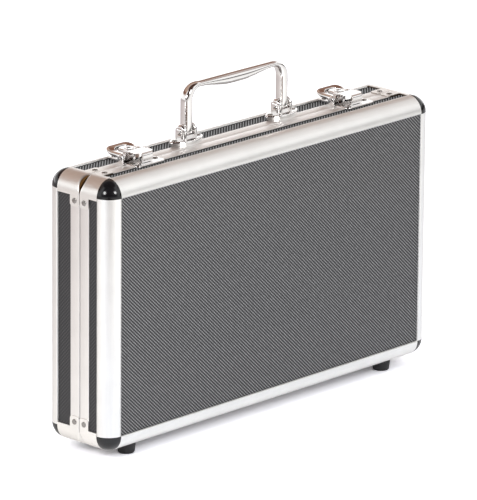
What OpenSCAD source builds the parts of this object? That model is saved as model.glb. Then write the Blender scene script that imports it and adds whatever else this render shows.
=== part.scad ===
// Aluminium flight case: a lid shell and a base shell on two hinges, with a folding handle and
// two key latches. Sizes are in millimetres. X runs along the case, the lid faces -Y, Z is up,
// and the case stands on its four feet at Z = 0.

/* [Case] */
// Length of the case over its end rails
case_w = 340; // [300:5:420]
// Height of the body without feet and handle
case_h = 200; // [160:5:260]
// Depth of the lid shell, from its big face to the seam
lid_depth = 29.4; // [28:0.2:45]
// Depth of the base shell, from its big face to the seam
base_depth = 34; // [34:0.5:60]
// Gap between the closed shells
seam_gap = 0.6; // [0.4:0.1:0.8]

/* [Rails and panels] */
// Outside radius of the edge rails, the ball corners and the corner plates
edge_r = 12.5; // [11.5:0.25:12.75]
// Thickness of the laminated panels
panel_t = 3.5; // [3:0.25:4]
// How far the rails stand proud of the panels
edge_proud = 1.2; // [1:0.1:1.4]
// How far the seam rails stand proud of the panels
seam_proud = 0.6; // [0.5:0.05:0.7]
// Depth that a panel goes into an edge rail
panel_grip = 3; // [2:0.25:3.5]
// Thickness of the rail legs behind the panels
rail_leg = 1.6; // [1.2:0.1:2]
// Visible width of a seam rail
seam_w = 8.8; // [8.4:0.1:9.2]
// Thickness of the seam rails' closing web
seam_web = 1.2; // [1:0.1:1.5]
// Thickness of the base's seal tongue
tongue_t = 1.2; // [0.8:0.1:1.5]
// Reach of the seal tongue past the base's closing web
tongue_reach = 2.2; // [1:0.1:2.4]

/* [Corners] */
// Wall of the black ball corners
ball_wall = 1.8; // [1.2:0.1:2]
// Sheet thickness of a corner plate's bend
corner_sheet = 1.2; // [0.9:0.1:1.4]
// Lap of a corner plate over the panels beside it
corner_lap = 2; // [1:0.25:3]
// Tab of a corner plate down the end face
tab_end = 10; // [9:0.5:12]
// Tab of a corner plate along the top or bottom face
tab_top = 14; // [12:0.5:16]
// Depth of a corner plate's flange at the seam
corner_flange = 5; // [3:0.25:6]

/* [Feet] */
// Height of the rubber feet
foot_h = 8; // [7:0.25:12]
// Radius of a foot at the case
foot_top_r = 7; // [6:0.25:7.5]
// Radius of a foot at the floor
foot_floor_r = 6; // [5:0.25:7]
// Distance of a foot's centre from the end face
foot_inset = 34.5; // [28:0.5:36]

/* [Hinges] */
// Length of one hinge
hinge_len = 40; // [30:1:50]
// Distance of a hinge's centre from the end face
hinge_inset = 75; // [73:1:110]
// Outside radius of the hinge knuckles
knuckle_r = 2.5; // [2.2:0.1:2.8]
// Radius of the hinge pins
hinge_pin_r = 1.2; // [1:0.05:1.4]
// Knuckles on one hinge
knuckles = 5; // [3:2:7]
// Thickness of the hinge leaves
leaf_t = 1.2; // [1:0.1:1.4]
// Width of a leaf, from the seam plane outwards
leaf_w = 9; // [8:0.25:9.5]

/* [Handle] */
// Distance between the handle's two leg centres
handle_span = 100; // [90:1:110]
// Width of a leg along the case
leg_w = 7.5; // [6:0.25:8.5]
// Depth of a leg across the case
leg_d = 8; // [7:0.25:9]
// Height of the grip's top above the case
handle_top = 42.6; // [38:0.2:55]
// Height of the handle's pivot above the case
pivot_h = 8; // [8:0.25:9]
// Distance of the handle's pivot behind the seam plane
handle_back = 11.3; // [10.3:0.1:11.6]
// Thickness of the grip beside its bends
grip_thin = 4.3; // [4:0.1:5]
// Thickness of the grip in its middle
grip_thick = 8; // [6:0.25:9]
// Depth of the grip in its middle
grip_deep = 9; // [8:0.25:11]
// Radius of the bends at the grip's centreline
bend_r = 11; // [9:0.25:13]
// Radius of the handle pins
handle_pin_r = 1.5; // [1.2:0.1:1.8]

/* [Handle mounts] */
// Length of a mount's base plate
mount_len = 34; // [32:0.5:38]
// Width of a mount's base plate
mount_wid = 16; // [15:0.25:16.5]
// Thickness of a mount's base plate above the seam rail
mount_t = 3; // [2.4:0.1:3.2]
// Thickness of a mount's ears
ear_t = 3.2; // [2.4:0.1:3.5]
// Radius of the ears' round tops
ear_r = 5; // [4:0.25:5.5]

/* [Latches] */
// Distance of a latch's centre from the end face
latch_inset = 60; // [58:1:80]
// Width of the latch lever
lever_w = 26; // [25:0.5:28]
// Width of a lever leg
lever_leg = 4.7; // [4:0.1:4.8]
// Reach of the lever behind its pin
lever_len = 18.5; // [18:0.25:20]
// Thickness of the lever's bar
lever_t = 3.4; // [3:0.1:3.5]
// Height of the lever's finger end above the case
lever_top = 8.2; // [8:0.1:8.6]
// Radius of the lever and hook pins
latch_pin_r = 1.25; // [1:0.05:1.25]
// Height of the lever pin above the case
lever_pin_h = 3; // [3:0.1:3.3]
// Width of the lock housing
lock_w = 12.4; // [11.6:0.2:12.4]
// Radius of the key plug
plug_r = 3.4; // [2.8:0.1:3.6]
// Width of the hook's front plate
hook_w = 17.6; // [17:0.2:19]
// Thickness of the hook's sheet
hook_t = 1.5; // [1.2:0.1:1.6]

/* [Liners] */
// Thickness of the foam liners
liner_t = 2.5; // [2:0.25:4]

/* [Hidden] */
$fn = 48;
eps = 0.01;
// Clearance between a panel and the slot that holds it
slot_fit = 0.05;
// Radial clearance of pins in the bores that turn on them
pin_fit = 0.05;
// Side clearance between parts that turn past each other
side_fit = 0.3;

// Places across the case
case_d = lid_depth + seam_gap + base_depth;
y_front = -case_d / 2;
y_back = case_d / 2;
y_lid = y_front + lid_depth;
y_base = y_back - base_depth;
y_seam = (y_lid + y_base) / 2;

// Heights
z_low = foot_h;
z_top = foot_h + case_h;
z_mid = foot_h + case_h / 2;

// Depths below the rails' outer faces
seam_u = edge_proud - seam_proud;
panel_in = edge_proud + panel_t;
rail_in = panel_in + rail_leg;
liner_gap = 0.2;
liner_out = rail_in + liner_gap;
seam_inner = 7;
tongue_gap = 0.3;

// Rivets
rivet_r = 1.2;
rivet_head_r = 2.1;
rivet_head_h = 0.7;
drill_fit = 0.05;
seam_mid = seam_w / 2;
end_rivet = 5.8;
top_rivet = 8;

// Feet
foot_spigot_r = 3.6;
foot_bore_r = 1.6;
foot_recess_r = 3.6;
foot_recess = 3;
foot_x = case_w / 2 - foot_inset;
foot_head_h = 1.2;
foot_tail_r = 2.6;
foot_tail_h = 0.8;
function foot_v(d) = (edge_r + d - seam_w) / 2;

// Hinges: the barrel hangs just below the case, on the seam plane
hinge_z = z_low - knuckle_r;
knuckle_len = hinge_len / knuckles;
leaf_start = knuckle_r + 0.5;
leaf_rivet_x = hinge_len / 2 - 6;
hinge_x = case_w / 2 - hinge_inset;
leaf_rivet_y = 6.1;

// Handle
handle_y = y_seam + handle_back;
pivot_z = z_top + pivot_h;
handle_x = handle_span / 2;
eye_r = leg_d / 2;
mount_rivet_x = mount_len / 2 - 5;
ear_gap = leg_w / 2 + side_fit;

// Latches, measured from the lever pin
latch_x = case_w / 2 - latch_inset;
lever_y = y_seam + 4.3;
lever_z = z_top + lever_pin_h;
hook_dy = 3.5;
hook_dz = -0.4;
hook_y = lever_y + hook_dy;
hook_z = lever_z + hook_dz;
hook_pin_r = latch_pin_r - 0.25;
hook_eye_r = 1.75;
lever_boss_r = 2.1;
lever_eye_r = 1.7;
lever_round = 5;
lever_rise = 2.1;
lever_bend = 9;
cheek_t = 1.2;
cheek_gap = 0.45;
cheek_in = lock_w / 2 + cheek_gap;
cheek_out = cheek_in + cheek_t;
lever_in = lever_w / 2 - lever_leg;
latch_plate_t = 1.2;
latch_rivet_x = lock_w / 2 + 0.4;
latch_rivet_dy = 13.7;
latch_plate_half = lock_w / 2 + 4;
latch_plate_z = z_top - seam_u + latch_plate_t;
latch_ear_t = 1.5;
latch_ear_r = 2.8;
latch_half = lever_w / 2 + side_fit + latch_ear_t;
latch_back = lever_len - 1.7;
latch_front = 3.6;
housing_start = 0.6;
housing_len = 12;
housing_top = lever_top - 1.2;
plug_dy = 5.7;
plug_top = housing_top + 0.3;
plug_floor = latch_plate_z + 0.2;
cam_t = 1.4;
cam_reach = lock_w / 2 - 1.2;
cam_room = 0.5;
hook_top = z_top + lever_top - 0.8;
hook_back = 0.2;
hook_neck = 3.5;
lug_front = y_lid - 8.6;
lug_t = 1.2;
lug_z = z_top + 1.3;
lug_gap = 0.3;
hook_cut = 4;
lug_half = hook_w / 2 - hook_cut;
lip_t = 1.2;
lip_r = 1.3;
lip_half = lug_half - 0.3;
lip_z = z_top + 4;
lip_front = lug_front + lug_t + lug_gap;
strike_t = 1.2;
strike_front = 12.9;
strike_back = 0.4;
strike_round = 4;
strike_rivet_x = latch_half - 3.4;
strike_rivet_y = y_lid - 4.6;

// Colours
c_alu = "#d9d7d3";
c_panel = "#3c3c3f";
c_black = "#17171a";
c_chrome = "#c9c6c4";
c_foam = "#2b2b2e";
c_rubber = "#202022";

// Puts a 2D section in (depth below the side face, distance from the big face) along X
module along_x(len) {
    rotate([90, 0, 90]) linear_extrude(len) mirror([1, -1, 0]) children();
}

// Extrudes an outline in X and Z over the given stretch of Y
module across(y0, y1) {
    translate([0, y1, 0]) rotate([90, 0, 0]) linear_extrude(y1 - y0) children();
}

// Extrudes an outline in Y and Z over the given stretch of X
module lengthwise(x0, x1) {
    translate([x0, 0, 0]) rotate([90, 0, 90]) linear_extrude(x1 - x0) children();
}

// A shell is drawn with its big face at Y = 0 and its seam at Y = its depth
module lid_place() {
    translate([0, y_front, 0]) children();
}

module base_place() {
    translate([0, y_back, 0]) mirror([0, 1, 0]) children();
}

// Repeats its children at the four corners, with the corner itself at the origin
module each_corner() {
    for (sx = [0, 1]) for (sz = [0, 1])
        translate([0, 0, z_mid]) mirror([0, 0, sz]) mirror([sx, 0, 0])
            translate([-case_w / 2, 0, -case_h / 2]) children();
}

// Rails

module rail_section() {
    difference() {
        intersection() {
            translate([edge_r, edge_r]) circle(edge_r, $fn = 96);
            square(edge_r);
        }
        translate([edge_r - panel_grip - slot_fit, edge_proud - slot_fit])
            square([panel_grip + slot_fit + 1, panel_t + 2 * slot_fit]);
        translate([edge_proud - slot_fit, edge_r - panel_grip - slot_fit])
            square([panel_t + 2 * slot_fit, panel_grip + slot_fit + 1]);
        translate([rail_in, rail_in]) square(edge_r);
    }
}

module seam_section(d, tongue) {
    translate([seam_u, d - seam_w]) square([seam_proud - slot_fit, seam_w]);
    translate([seam_u, d - seam_web]) square([rail_in - seam_u, seam_web]);
    translate([panel_in + slot_fit, d - seam_inner])
        square([rail_leg - slot_fit, seam_inner]);
    if (tongue) {
        translate([rail_in - eps, d - seam_web])
            square([tongue_gap + tongue_t + eps, seam_web]);
        translate([rail_in + tongue_gap, d - seam_web])
            square([tongue_t, seam_web + tongue_reach]);
    }
}

module upright(flip) {
    mirror([flip, 0, 0]) translate([-case_w / 2, 0, z_low + edge_r])
        linear_extrude(case_h - 2 * edge_r) children();
}

module level(flip) {
    translate([0, 0, z_mid]) mirror([0, 0, flip])
        translate([-case_w / 2 + edge_r, 0, -case_h / 2]) along_x(case_w - 2 * edge_r)
            children();
}

// Panels

module big_panel() {
    across(edge_proud, panel_in) translate([0, z_mid]) {
        square([case_w - 2 * edge_r + 2 * panel_grip, case_h - 2 * edge_r], center = true);
        square([case_w - 2 * edge_r, case_h - 2 * edge_r + 2 * panel_grip], center = true);
    }
}

// Section of a side panel, from its edge rail to its seam rail
module strip_section(d) {
    translate([edge_proud, edge_r - panel_grip])
        square([panel_t, d - seam_web - slot_fit - edge_r + panel_grip]);
}

// Rivets point out of the face that they stand on, with the head's seat at the origin

module rivet(grip) {
    cylinder(h = rivet_head_h, r1 = rivet_head_r, r2 = rivet_head_r * 0.6);
    translate([0, 0, -grip]) cylinder(h = grip + eps, r = rivet_r);
}

module drill(grip) {
    translate([0, 0, -grip - 1]) cylinder(h = grip + 2, r = rivet_r + drill_fit);
}

// Repeats its children at the corner rivets, pointing out of the end, top and bottom faces
module corner_rivets(d) {
    each_corner() {
        translate([0, d - seam_mid, edge_r + end_rivet]) rotate([0, -90, 0]) children();
        translate([edge_r + top_rivet, d - seam_mid, 0]) rotate([180, 0, 0]) children();
    }
}

module hinge_rivets(d) {
    for (sx = [-1, 1]) for (s = [-1, 1])
        translate([sx * hinge_x + s * leaf_rivet_x, d - leaf_rivet_y, z_low + seam_u - leaf_t])
            rotate([180, 0, 0]) children();
}

module mount_rivets() {
    for (sx = [-1, 1]) for (s = [-1, 1])
        translate([sx * handle_x + s * mount_rivet_x, handle_y, z_top - seam_u + mount_t])
            children();
}

module latch_rivets() {
    for (sx = [-1, 1]) translate([sx * latch_x, lever_y, latch_plate_z]) {
        for (s = [-1, 1]) translate([s * latch_rivet_x, latch_rivet_dy, 0])
            children();
    }
}

module strike_rivets() {
    for (sx = [-1, 1]) translate([sx * latch_x, 0, z_top - seam_u + strike_t])
        for (s = [-1, 1]) translate([s * strike_rivet_x, strike_rivet_y, 0]) children();
}

module foot_places(d) {
    for (sx = [-1, 1]) translate([sx * foot_x, foot_v(d), 0]) children();
}

module foot_drill(d) {
    foot_places(d) cylinder(h = z_low + rail_in, r = foot_bore_r + drill_fit);
}

module foot_rivet() {
    translate([0, 0, foot_recess - foot_head_h]) cylinder(h = foot_head_h, r = 3);
    translate([0, 0, foot_recess - eps])
        cylinder(h = z_low + panel_in - foot_recess + 2 * eps, r = foot_bore_r);
    translate([0, 0, z_low + panel_in]) cylinder(h = foot_tail_h, r = foot_tail_r);
}

// Shell parts, shared by the lid and the base

module end_panel(d, flip) {
    difference() {
        upright(flip) strip_section(d);
        corner_rivets(d) drill(rail_in);
    }
}

module end_seam(d, tongue, flip) {
    difference() {
        upright(flip) seam_section(d, tongue);
        corner_rivets(d) drill(rail_in);
    }
}

module level_seam(d, tongue, flip) {
    difference() {
        level(flip) seam_section(d, tongue);
        corner_rivets(d) drill(rail_in);
    }
}

module bottom_panel(d) {
    difference() {
        level(0) strip_section(d);
        corner_rivets(d) drill(rail_in);
        hinge_rivets(d) drill(rail_in);
        foot_drill(d);
    }
}

module ball_corners() {
    each_corner() translate([edge_r, edge_r, edge_r]) intersection() {
        difference() {
            sphere(edge_r, $fn = 96);
            sphere(edge_r - ball_wall, $fn = 96);
        }
        translate(-[edge_r, edge_r, edge_r]) cube(edge_r);
    }
}

// Quarter ring round the corner's axis, between two radii
module corner_ring(outer, inner) {
    intersection() {
        translate([edge_r, edge_r]) difference() {
            circle(outer, $fn = 96);
            circle(inner, $fn = 96);
        }
        square(edge_r);
    }
}

module corner_plates(d) {
    lap_t = edge_proud;
    tab_t = seam_u - slot_fit;
    difference() {
        each_corner() {
            across(edge_r, d) corner_ring(edge_r, edge_r - corner_sheet);
            across(edge_r, d - seam_w) {
                translate([0, edge_r - eps]) square([lap_t, corner_lap]);
                translate([edge_r - eps, 0]) square([corner_lap, lap_t]);
            }
            across(d - seam_w, d) {
                translate([0, edge_r - eps]) square([tab_t, tab_end]);
                translate([edge_r - eps, 0]) square([tab_top, tab_t]);
            }
            across(d - seam_web, d)
                corner_ring(edge_r - corner_sheet + eps, edge_r - corner_flange);
        }
        corner_rivets(d) drill(rail_in);
    }
}

module feet(d) {
    foot_places(d) rotate_extrude() polygon([
        [foot_recess_r, 0], [foot_floor_r - 0.6, 0], [foot_floor_r, 0.6],
        [foot_top_r, foot_h], [foot_spigot_r, foot_h],
        [foot_spigot_r, foot_h + edge_proud], [foot_bore_r + drill_fit, foot_h + edge_proud],
        [foot_bore_r + drill_fit, foot_recess], [foot_recess_r, foot_recess],
    ]);
}

// Foam sheets on the big panel and the four walls, up to a rim below the seam
module liner(d, rim) {
    long = case_w - 2 * liner_out;
    tall = case_h - 2 * liner_out;
    wall = d - liner_out - rim;
    translate([-long / 2, liner_out, z_low + liner_out]) cube([long, liner_t, tall]);
    for (s = [0, 1]) mirror([s, 0, 0])
        translate([-long / 2, liner_out + liner_t, z_low + liner_out])
            cube([liner_t, wall - liner_t, tall]);
    for (z = [z_low + liner_out, z_top - liner_out - liner_t])
        translate([-long / 2 + liner_t, liner_out + liner_t, z])
            cube([long - 2 * liner_t, wall - liner_t, liner_t]);
}

// Base shell

module base_back_panel() {
    color(c_panel) base_place() big_panel();
}

module base_top_panel() {
    color(c_panel) difference() {
        base_place() difference() {
            level(1) strip_section(base_depth);
            corner_rivets(base_depth) drill(rail_in);
        }
        mount_rivets() drill(mount_t + rail_in);
        latch_rivets() drill(latch_plate_t + rail_in);
    }
}

module base_bottom_panel() {
    color(c_panel) base_place() bottom_panel(base_depth);
}

module base_left_panel() {
    color(c_panel) base_place() end_panel(base_depth, 0);
}

module base_right_panel() {
    color(c_panel) base_place() end_panel(base_depth, 1);
}

module base_top_rail() {
    color(c_alu) base_place() level(1) rail_section();
}

module base_bottom_rail() {
    color(c_alu) base_place() level(0) rail_section();
}

module base_left_rail() {
    color(c_alu) base_place() upright(0) rail_section();
}

module base_right_rail() {
    color(c_alu) base_place() upright(1) rail_section();
}

module base_seam_top() {
    color(c_alu) base_place() level_seam(base_depth, true, 1);
}

module base_seam_bottom() {
    color(c_alu) difference() {
        base_place() level_seam(base_depth, true, 0);
        base_place() hinge_rivets(base_depth) drill(rail_in);
    }
}

module base_seam_left() {
    color(c_alu) base_place() end_seam(base_depth, true, 0);
}

module base_seam_right() {
    color(c_alu) base_place() end_seam(base_depth, true, 1);
}

module base_ball_corners() {
    color(c_black) base_place() ball_corners();
}

module base_corner_plates() {
    color(c_alu) base_place() corner_plates(base_depth);
}

module base_rivets() {
    color(c_chrome) {
        base_place() {
            corner_rivets(base_depth) rivet(rail_in);
            hinge_rivets(base_depth) rivet(leaf_t + rail_in - seam_u);
            foot_places(base_depth) foot_rivet();
        }
        mount_rivets() rivet(mount_t + panel_in - seam_u);
        latch_rivets() rivet(latch_plate_t + panel_in - seam_u);
    }
}

module base_feet() {
    color(c_rubber) base_place() feet(base_depth);
}

module base_liner() {
    color(c_foam) base_place() liner(base_depth, seam_web + 0.3);
}

// Lid shell

module lid_front_panel() {
    color(c_panel) lid_place() big_panel();
}

module lid_top_panel() {
    color(c_panel) lid_place() difference() {
        level(1) strip_section(lid_depth);
        corner_rivets(lid_depth) drill(rail_in);
        translate([0, -y_front, 0]) strike_rivets() drill(strike_t + rail_in);
    }
}

module lid_bottom_panel() {
    color(c_panel) lid_place() bottom_panel(lid_depth);
}

module lid_left_panel() {
    color(c_panel) lid_place() end_panel(lid_depth, 0);
}

module lid_right_panel() {
    color(c_panel) lid_place() end_panel(lid_depth, 1);
}

module lid_top_rail() {
    color(c_alu) lid_place() level(1) rail_section();
}

module lid_bottom_rail() {
    color(c_alu) lid_place() level(0) rail_section();
}

module lid_left_rail() {
    color(c_alu) lid_place() upright(0) rail_section();
}

module lid_right_rail() {
    color(c_alu) lid_place() upright(1) rail_section();
}

module lid_seam_top() {
    color(c_alu) difference() {
        lid_place() level_seam(lid_depth, false, 1);
        strike_rivets() drill(strike_t + rail_in);
    }
}

module lid_seam_bottom() {
    color(c_alu) lid_place() difference() {
        level_seam(lid_depth, false, 0);
        hinge_rivets(lid_depth) drill(rail_in);
    }
}

module lid_seam_left() {
    color(c_alu) lid_place() end_seam(lid_depth, false, 0);
}

module lid_seam_right() {
    color(c_alu) lid_place() end_seam(lid_depth, false, 1);
}

module lid_ball_corners() {
    color(c_black) lid_place() ball_corners();
}

module lid_corner_plates() {
    color(c_alu) lid_place() corner_plates(lid_depth);
}

module lid_rivets() {
    color(c_chrome) {
        lid_place() {
            corner_rivets(lid_depth) rivet(rail_in);
            hinge_rivets(lid_depth) rivet(leaf_t + rail_in - seam_u);
            foot_places(lid_depth) foot_rivet();
        }
        strike_rivets() rivet(strike_t + rail_in - seam_u);
    }
}

module lid_feet() {
    color(c_rubber) lid_place() feet(lid_depth);
}

module lid_liner() {
    color(c_foam) lid_place() liner(lid_depth, tongue_reach + 0.6 - seam_gap + 0.2);
}

// Hinges

// The knuckles with an even or an odd number, each with its strap to the leaf
module hinge_leaf(odd) {
    side = odd ? -1 : 1;
    leaf_top = z_low + seam_u;
    for (sx = [-1, 1]) translate([sx * hinge_x, y_seam, 0]) difference() {
        union() {
            translate([-hinge_len / 2, side > 0 ? leaf_start : -leaf_w, leaf_top - leaf_t])
                cube([hinge_len, leaf_w - leaf_start, leaf_t]);
            for (k = [(odd ? 1 : 0):2:knuckles - 1]) {
                x0 = -hinge_len / 2 + k * knuckle_len + side_fit / 2;
                x1 = x0 + knuckle_len - side_fit;
                translate([x0, 0, hinge_z]) rotate([0, 90, 0])
                    cylinder(h = x1 - x0, r = knuckle_r);
                translate([x0, side > 0 ? 0 : -leaf_start - eps, leaf_top - leaf_t])
                    cube([x1 - x0, leaf_start + eps, z_low - leaf_top + leaf_t]);
            }
        }
        translate([-hinge_len / 2 - 1, 0, hinge_z]) rotate([0, 90, 0])
            cylinder(h = hinge_len + 2, r = hinge_pin_r + (odd ? pin_fit : 0));
    }
}

module hinge_leaves_base() {
    color(c_chrome) difference() {
        hinge_leaf(false);
        base_place() hinge_rivets(base_depth) drill(rail_in);
    }
}

module hinge_leaves_lid() {
    color(c_chrome) difference() {
        hinge_leaf(true);
        lid_place() hinge_rivets(lid_depth) drill(rail_in);
    }
}

module hinge_pins() {
    color(c_chrome) for (sx = [-1, 1])
        translate([sx * hinge_x - hinge_len / 2, y_seam, hinge_z]) rotate([0, 90, 0])
            cylinder(h = hinge_len, r = hinge_pin_r);
}

// Handle

// Sides of the handle's section, rings in a bend and rings along half the grip
sides = 24;
bend_rings = 10;
grip_rings = 14;
leg_top = handle_top - grip_thin / 2 - bend_r;
grip_start = handle_x - bend_r;

// Eases from 0 to 1
function ease(t) = (1 - cos(180 * t)) / 2;

// Point of a rounded section with the given half sizes and squareness
function section_point(a, b, power, i) =
    let (t = 360 * i / sides, c = cos(t), s = sin(t))
        [a * sign(c) * pow(abs(c), 2 / power), b * sign(s) * pow(abs(s), 2 / power)];

// A ring: centre [x, z], tilt of its plane, half sizes along the plane and across the case
function ring(x, z, tilt, a, b, power) = [
    for (i = [0:sides - 1]) let (p = section_point(a, b, power, i))
        [x + p[0] * cos(tilt), p[1], z + p[0] * sin(tilt)]
];

// Rings of the left half, from the pivot up the leg, round the bend and along the grip
function half_rings() = concat(
    [
        for (h = [pivot_h, (pivot_h + leg_top) / 2])
            ring(-handle_x, h, 0, leg_w / 2, leg_d / 2, 4)
    ],
    [
        for (k = [0:bend_rings]) let (t = k / bend_rings, w = ease(t))
            ring(-handle_x + bend_r * (1 - cos(90 * t)), leg_top + bend_r * sin(90 * t),
                -90 * t, leg_w / 2 * (1 - w) + grip_thin / 2 * w, leg_d / 2, 4 - 1.4 * w)
    ],
    [
        for (k = [1:grip_rings]) let (
            t = k / grip_rings, w = ease(min(1, t * 1.15)),
            a = (grip_thin * (1 - w) + grip_thick * w) / 2
        )
            ring(-grip_start * (1 - t), handle_top - a, -90, a,
                (leg_d * (1 - w) + grip_deep * w) / 2, 2.6)
    ]
);

function flip_ring(r) = [for (p = r) [-p[0], p[1], p[2]]];

module handle_bar() {
    left = half_rings();
    n = len(left);
    rings = concat(left, [for (k = [n - 2:-1:0]) flip_ring(left[k])]);
    m = len(rings);
    polyhedron(
        points = [for (r = rings) each r],
        faces = concat(
            [[for (i = [0:sides - 1]) i]],
            [
                for (k = [0:m - 2]) for (i = [0:sides - 1]) each let (
                    a = k * sides + i, b = k * sides + (i + 1) % sides
                ) [[a, a + sides, b], [b, a + sides, b + sides]]
            ],
            [[for (i = [sides - 1:-1:0]) (m - 1) * sides + i]]
        )
    );
}

module handle() {
    color(c_chrome) translate([0, handle_y, z_top]) difference() {
        union() {
            handle_bar();
            for (s = [-1, 1]) translate([s * handle_x - leg_w / 2, 0, pivot_h])
                rotate([0, 90, 0]) cylinder(h = leg_w, r = eye_r);
        }
        translate([-handle_x - leg_w, 0, pivot_h]) rotate([0, 90, 0])
            cylinder(h = 2 * (handle_x + leg_w), r = handle_pin_r + pin_fit);
    }
}

// Boat-shaped outline of a handle mount
module mount_outline() {
    round_r = (mount_len * mount_len + mount_wid * mount_wid) / (4 * mount_wid);
    intersection() {
        translate([0, round_r - mount_wid / 2]) circle(round_r, $fn = 96);
        translate([0, mount_wid / 2 - round_r]) circle(round_r, $fn = 96);
    }
}

module handle_mount(x) {
    seat = z_top - seam_u;
    strip_y = y_base + seam_w + 2 * slot_fit;
    color(c_chrome) difference() {
        union() {
            translate([x, handle_y, seat]) linear_extrude(mount_t) mount_outline();
            intersection() {
                translate([x, handle_y, z_top - edge_proud])
                    linear_extrude(seam_proud + eps) mount_outline();
                translate([x - mount_len, strip_y, z_top - edge_proud])
                    cube([2 * mount_len, mount_wid, mount_t]);
            }
            for (s = [0, 1]) translate([x, handle_y, 0]) mirror([s, 0, 0]) {
                translate([ear_gap, 0, pivot_z]) rotate([0, 90, 0])
                    cylinder(h = ear_t, r = ear_r);
                translate([ear_gap, -ear_r, seat + mount_t - eps])
                    cube([ear_t, 2 * ear_r, pivot_z - seat - mount_t + eps]);
            }
        }
        translate([x - mount_len / 2, handle_y, pivot_z]) rotate([0, 90, 0])
            cylinder(h = mount_len, r = handle_pin_r);
        mount_rivets() drill(mount_t + rail_in);
    }
}

module handle_mount_left() {
    handle_mount(-handle_x);
}

module handle_mount_right() {
    handle_mount(handle_x);
}

module handle_pins() {
    pin_half = ear_gap + ear_t + 0.4;
    color(c_chrome) for (s = [-1, 1]) translate([s * handle_x - pin_half, handle_y, pivot_z])
        rotate([0, 90, 0]) cylinder(h = 2 * pin_half, r = handle_pin_r);
}

// Latches, drawn with the lever pin's axis over the latch's centre

module pin_hole(y, z, half, r) {
    translate([-half, y, z]) rotate([0, 90, 0]) cylinder(h = 2 * half, r = r);
}

module latch_base(x) {
    strip_y = y_base + seam_w + 2 * slot_fit;
    plate_y0 = lever_y - latch_front;
    plate_y1 = lever_y + latch_back;
    color(c_chrome) difference() {
        translate([x, 0, 0]) difference() {
            union() {
                translate([-latch_half, plate_y0, z_top - seam_u])
                    cube([2 * latch_half, lever_y + latch_ear_r - plate_y0, latch_plate_t]);
                translate([-latch_plate_half, plate_y0, z_top - seam_u])
                    cube([2 * latch_plate_half, plate_y1 - plate_y0, latch_plate_t]);
                translate([-latch_plate_half, strip_y, z_top - edge_proud])
                    cube([2 * latch_plate_half, plate_y1 - strip_y, seam_proud + eps]);
                for (s = [0, 1]) mirror([s, 0, 0]) translate([latch_half - latch_ear_t, 0, 0]) {
                    translate([0, lever_y, lever_z]) rotate([0, 90, 0])
                        cylinder(h = latch_ear_t, r = latch_ear_r);
                    translate([0, lever_y - latch_ear_r, latch_plate_z - eps])
                        cube([latch_ear_t, 2 * latch_ear_r, lever_z - latch_plate_z + eps]);
                }
                lock_housing();
            }
            translate([0, lever_y + plug_dy, plug_floor])
                cylinder(h = lever_top + 5, r = plug_r + pin_fit);
            translate([0, lever_y + plug_dy, plug_floor])
                cylinder(h = cam_t + cam_room, r = cam_reach + 0.3);
            pin_hole(lever_y, lever_z, latch_half + 1, latch_pin_r);
        }
        latch_rivets() drill(latch_plate_t + rail_in);
    }
}

// Housing of the key plug, round at the back
module lock_housing() {
    half = lock_w / 2;
    start = lever_y + housing_start + latch_pin_r;
    back_r = half;
    translate([0, 0, latch_plate_z - eps]) linear_extrude(z_top + housing_top - latch_plate_z) {
        translate([-half, start]) square([lock_w, housing_len - back_r + 1]);
        translate([0, start + housing_len - back_r]) intersection() {
            circle(back_r, $fn = 96);
            translate([-half, 0]) square([lock_w, back_r]);
        }
    }
}

// Outside of the lever's loop, seen from above
module lever_outline() {
    half = lever_w / 2;
    start = -lever_boss_r - 1;
    translate([-half, start]) square([2 * half, lever_len - lever_round - start]);
    translate([-half + lever_round, start])
        square([2 * (half - lever_round), lever_len - start]);
    for (s = [-1, 1]) translate([s * (half - lever_round), lever_len - lever_round])
        circle(lever_round, $fn = 64);
}

// Opening of the loop, round the lock housing
module lever_window() {
    back = housing_start + latch_pin_r + housing_len + 1;
    round_r = lever_in - 2;
    translate([-lever_in, -5]) square([2 * lever_in, back + 5 - round_r]);
    translate([round_r - lever_in, -5]) square([2 * (lever_in - round_r), back + 5]);
    for (s = [-1, 1]) translate([s * (lever_in - round_r), back - round_r])
        circle(round_r, $fn = 96);
}

// Loop of flat bar round the lock housing, its finger end turned up
module latch_lever(x) {
    half = lever_w / 2;
    color(c_chrome) translate([x, lever_y, 0]) difference() {
        intersection() {
            translate([0, 0, z_top]) linear_extrude(lever_top + 1) difference() {
                lever_outline();
                lever_window();
            }
            union() {
                pin_hole(0, lever_z, half, lever_boss_r);
                pin_hole(hook_dy, hook_z, half, lever_eye_r);
                lever_side();
            }
        }
        pin_hole(0, lever_z, lever_w, latch_pin_r + pin_fit);
        pin_hole(hook_dy, hook_z, half - 1.5, hook_pin_r);
    }
}

// The bar seen from the side: level legs, then a rise to the finger end
module lever_side() {
    top = z_top + lever_top - lever_rise;
    low = top - lever_t;
    middle = (lever_bend + lever_len) / 2;
    lengthwise(-lever_w / 2, lever_w / 2) polygon([
        [-lever_boss_r * 0.6, lever_z + lever_boss_r * 0.8],
        [0.6, top], [lever_bend, top], [middle, top + lever_rise * 0.3],
        [lever_len, top + lever_rise], [lever_len, low + lever_rise * 1.2],
        [middle, low + lever_rise * 0.3], [lever_bend, low],
        [hook_dy + lever_eye_r * 1.6, low],
        [hook_dy + lever_eye_r * 0.6, hook_z - lever_eye_r * 0.8],
        [0, lever_z - lever_boss_r * 0.9],
    ]);
}

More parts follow.
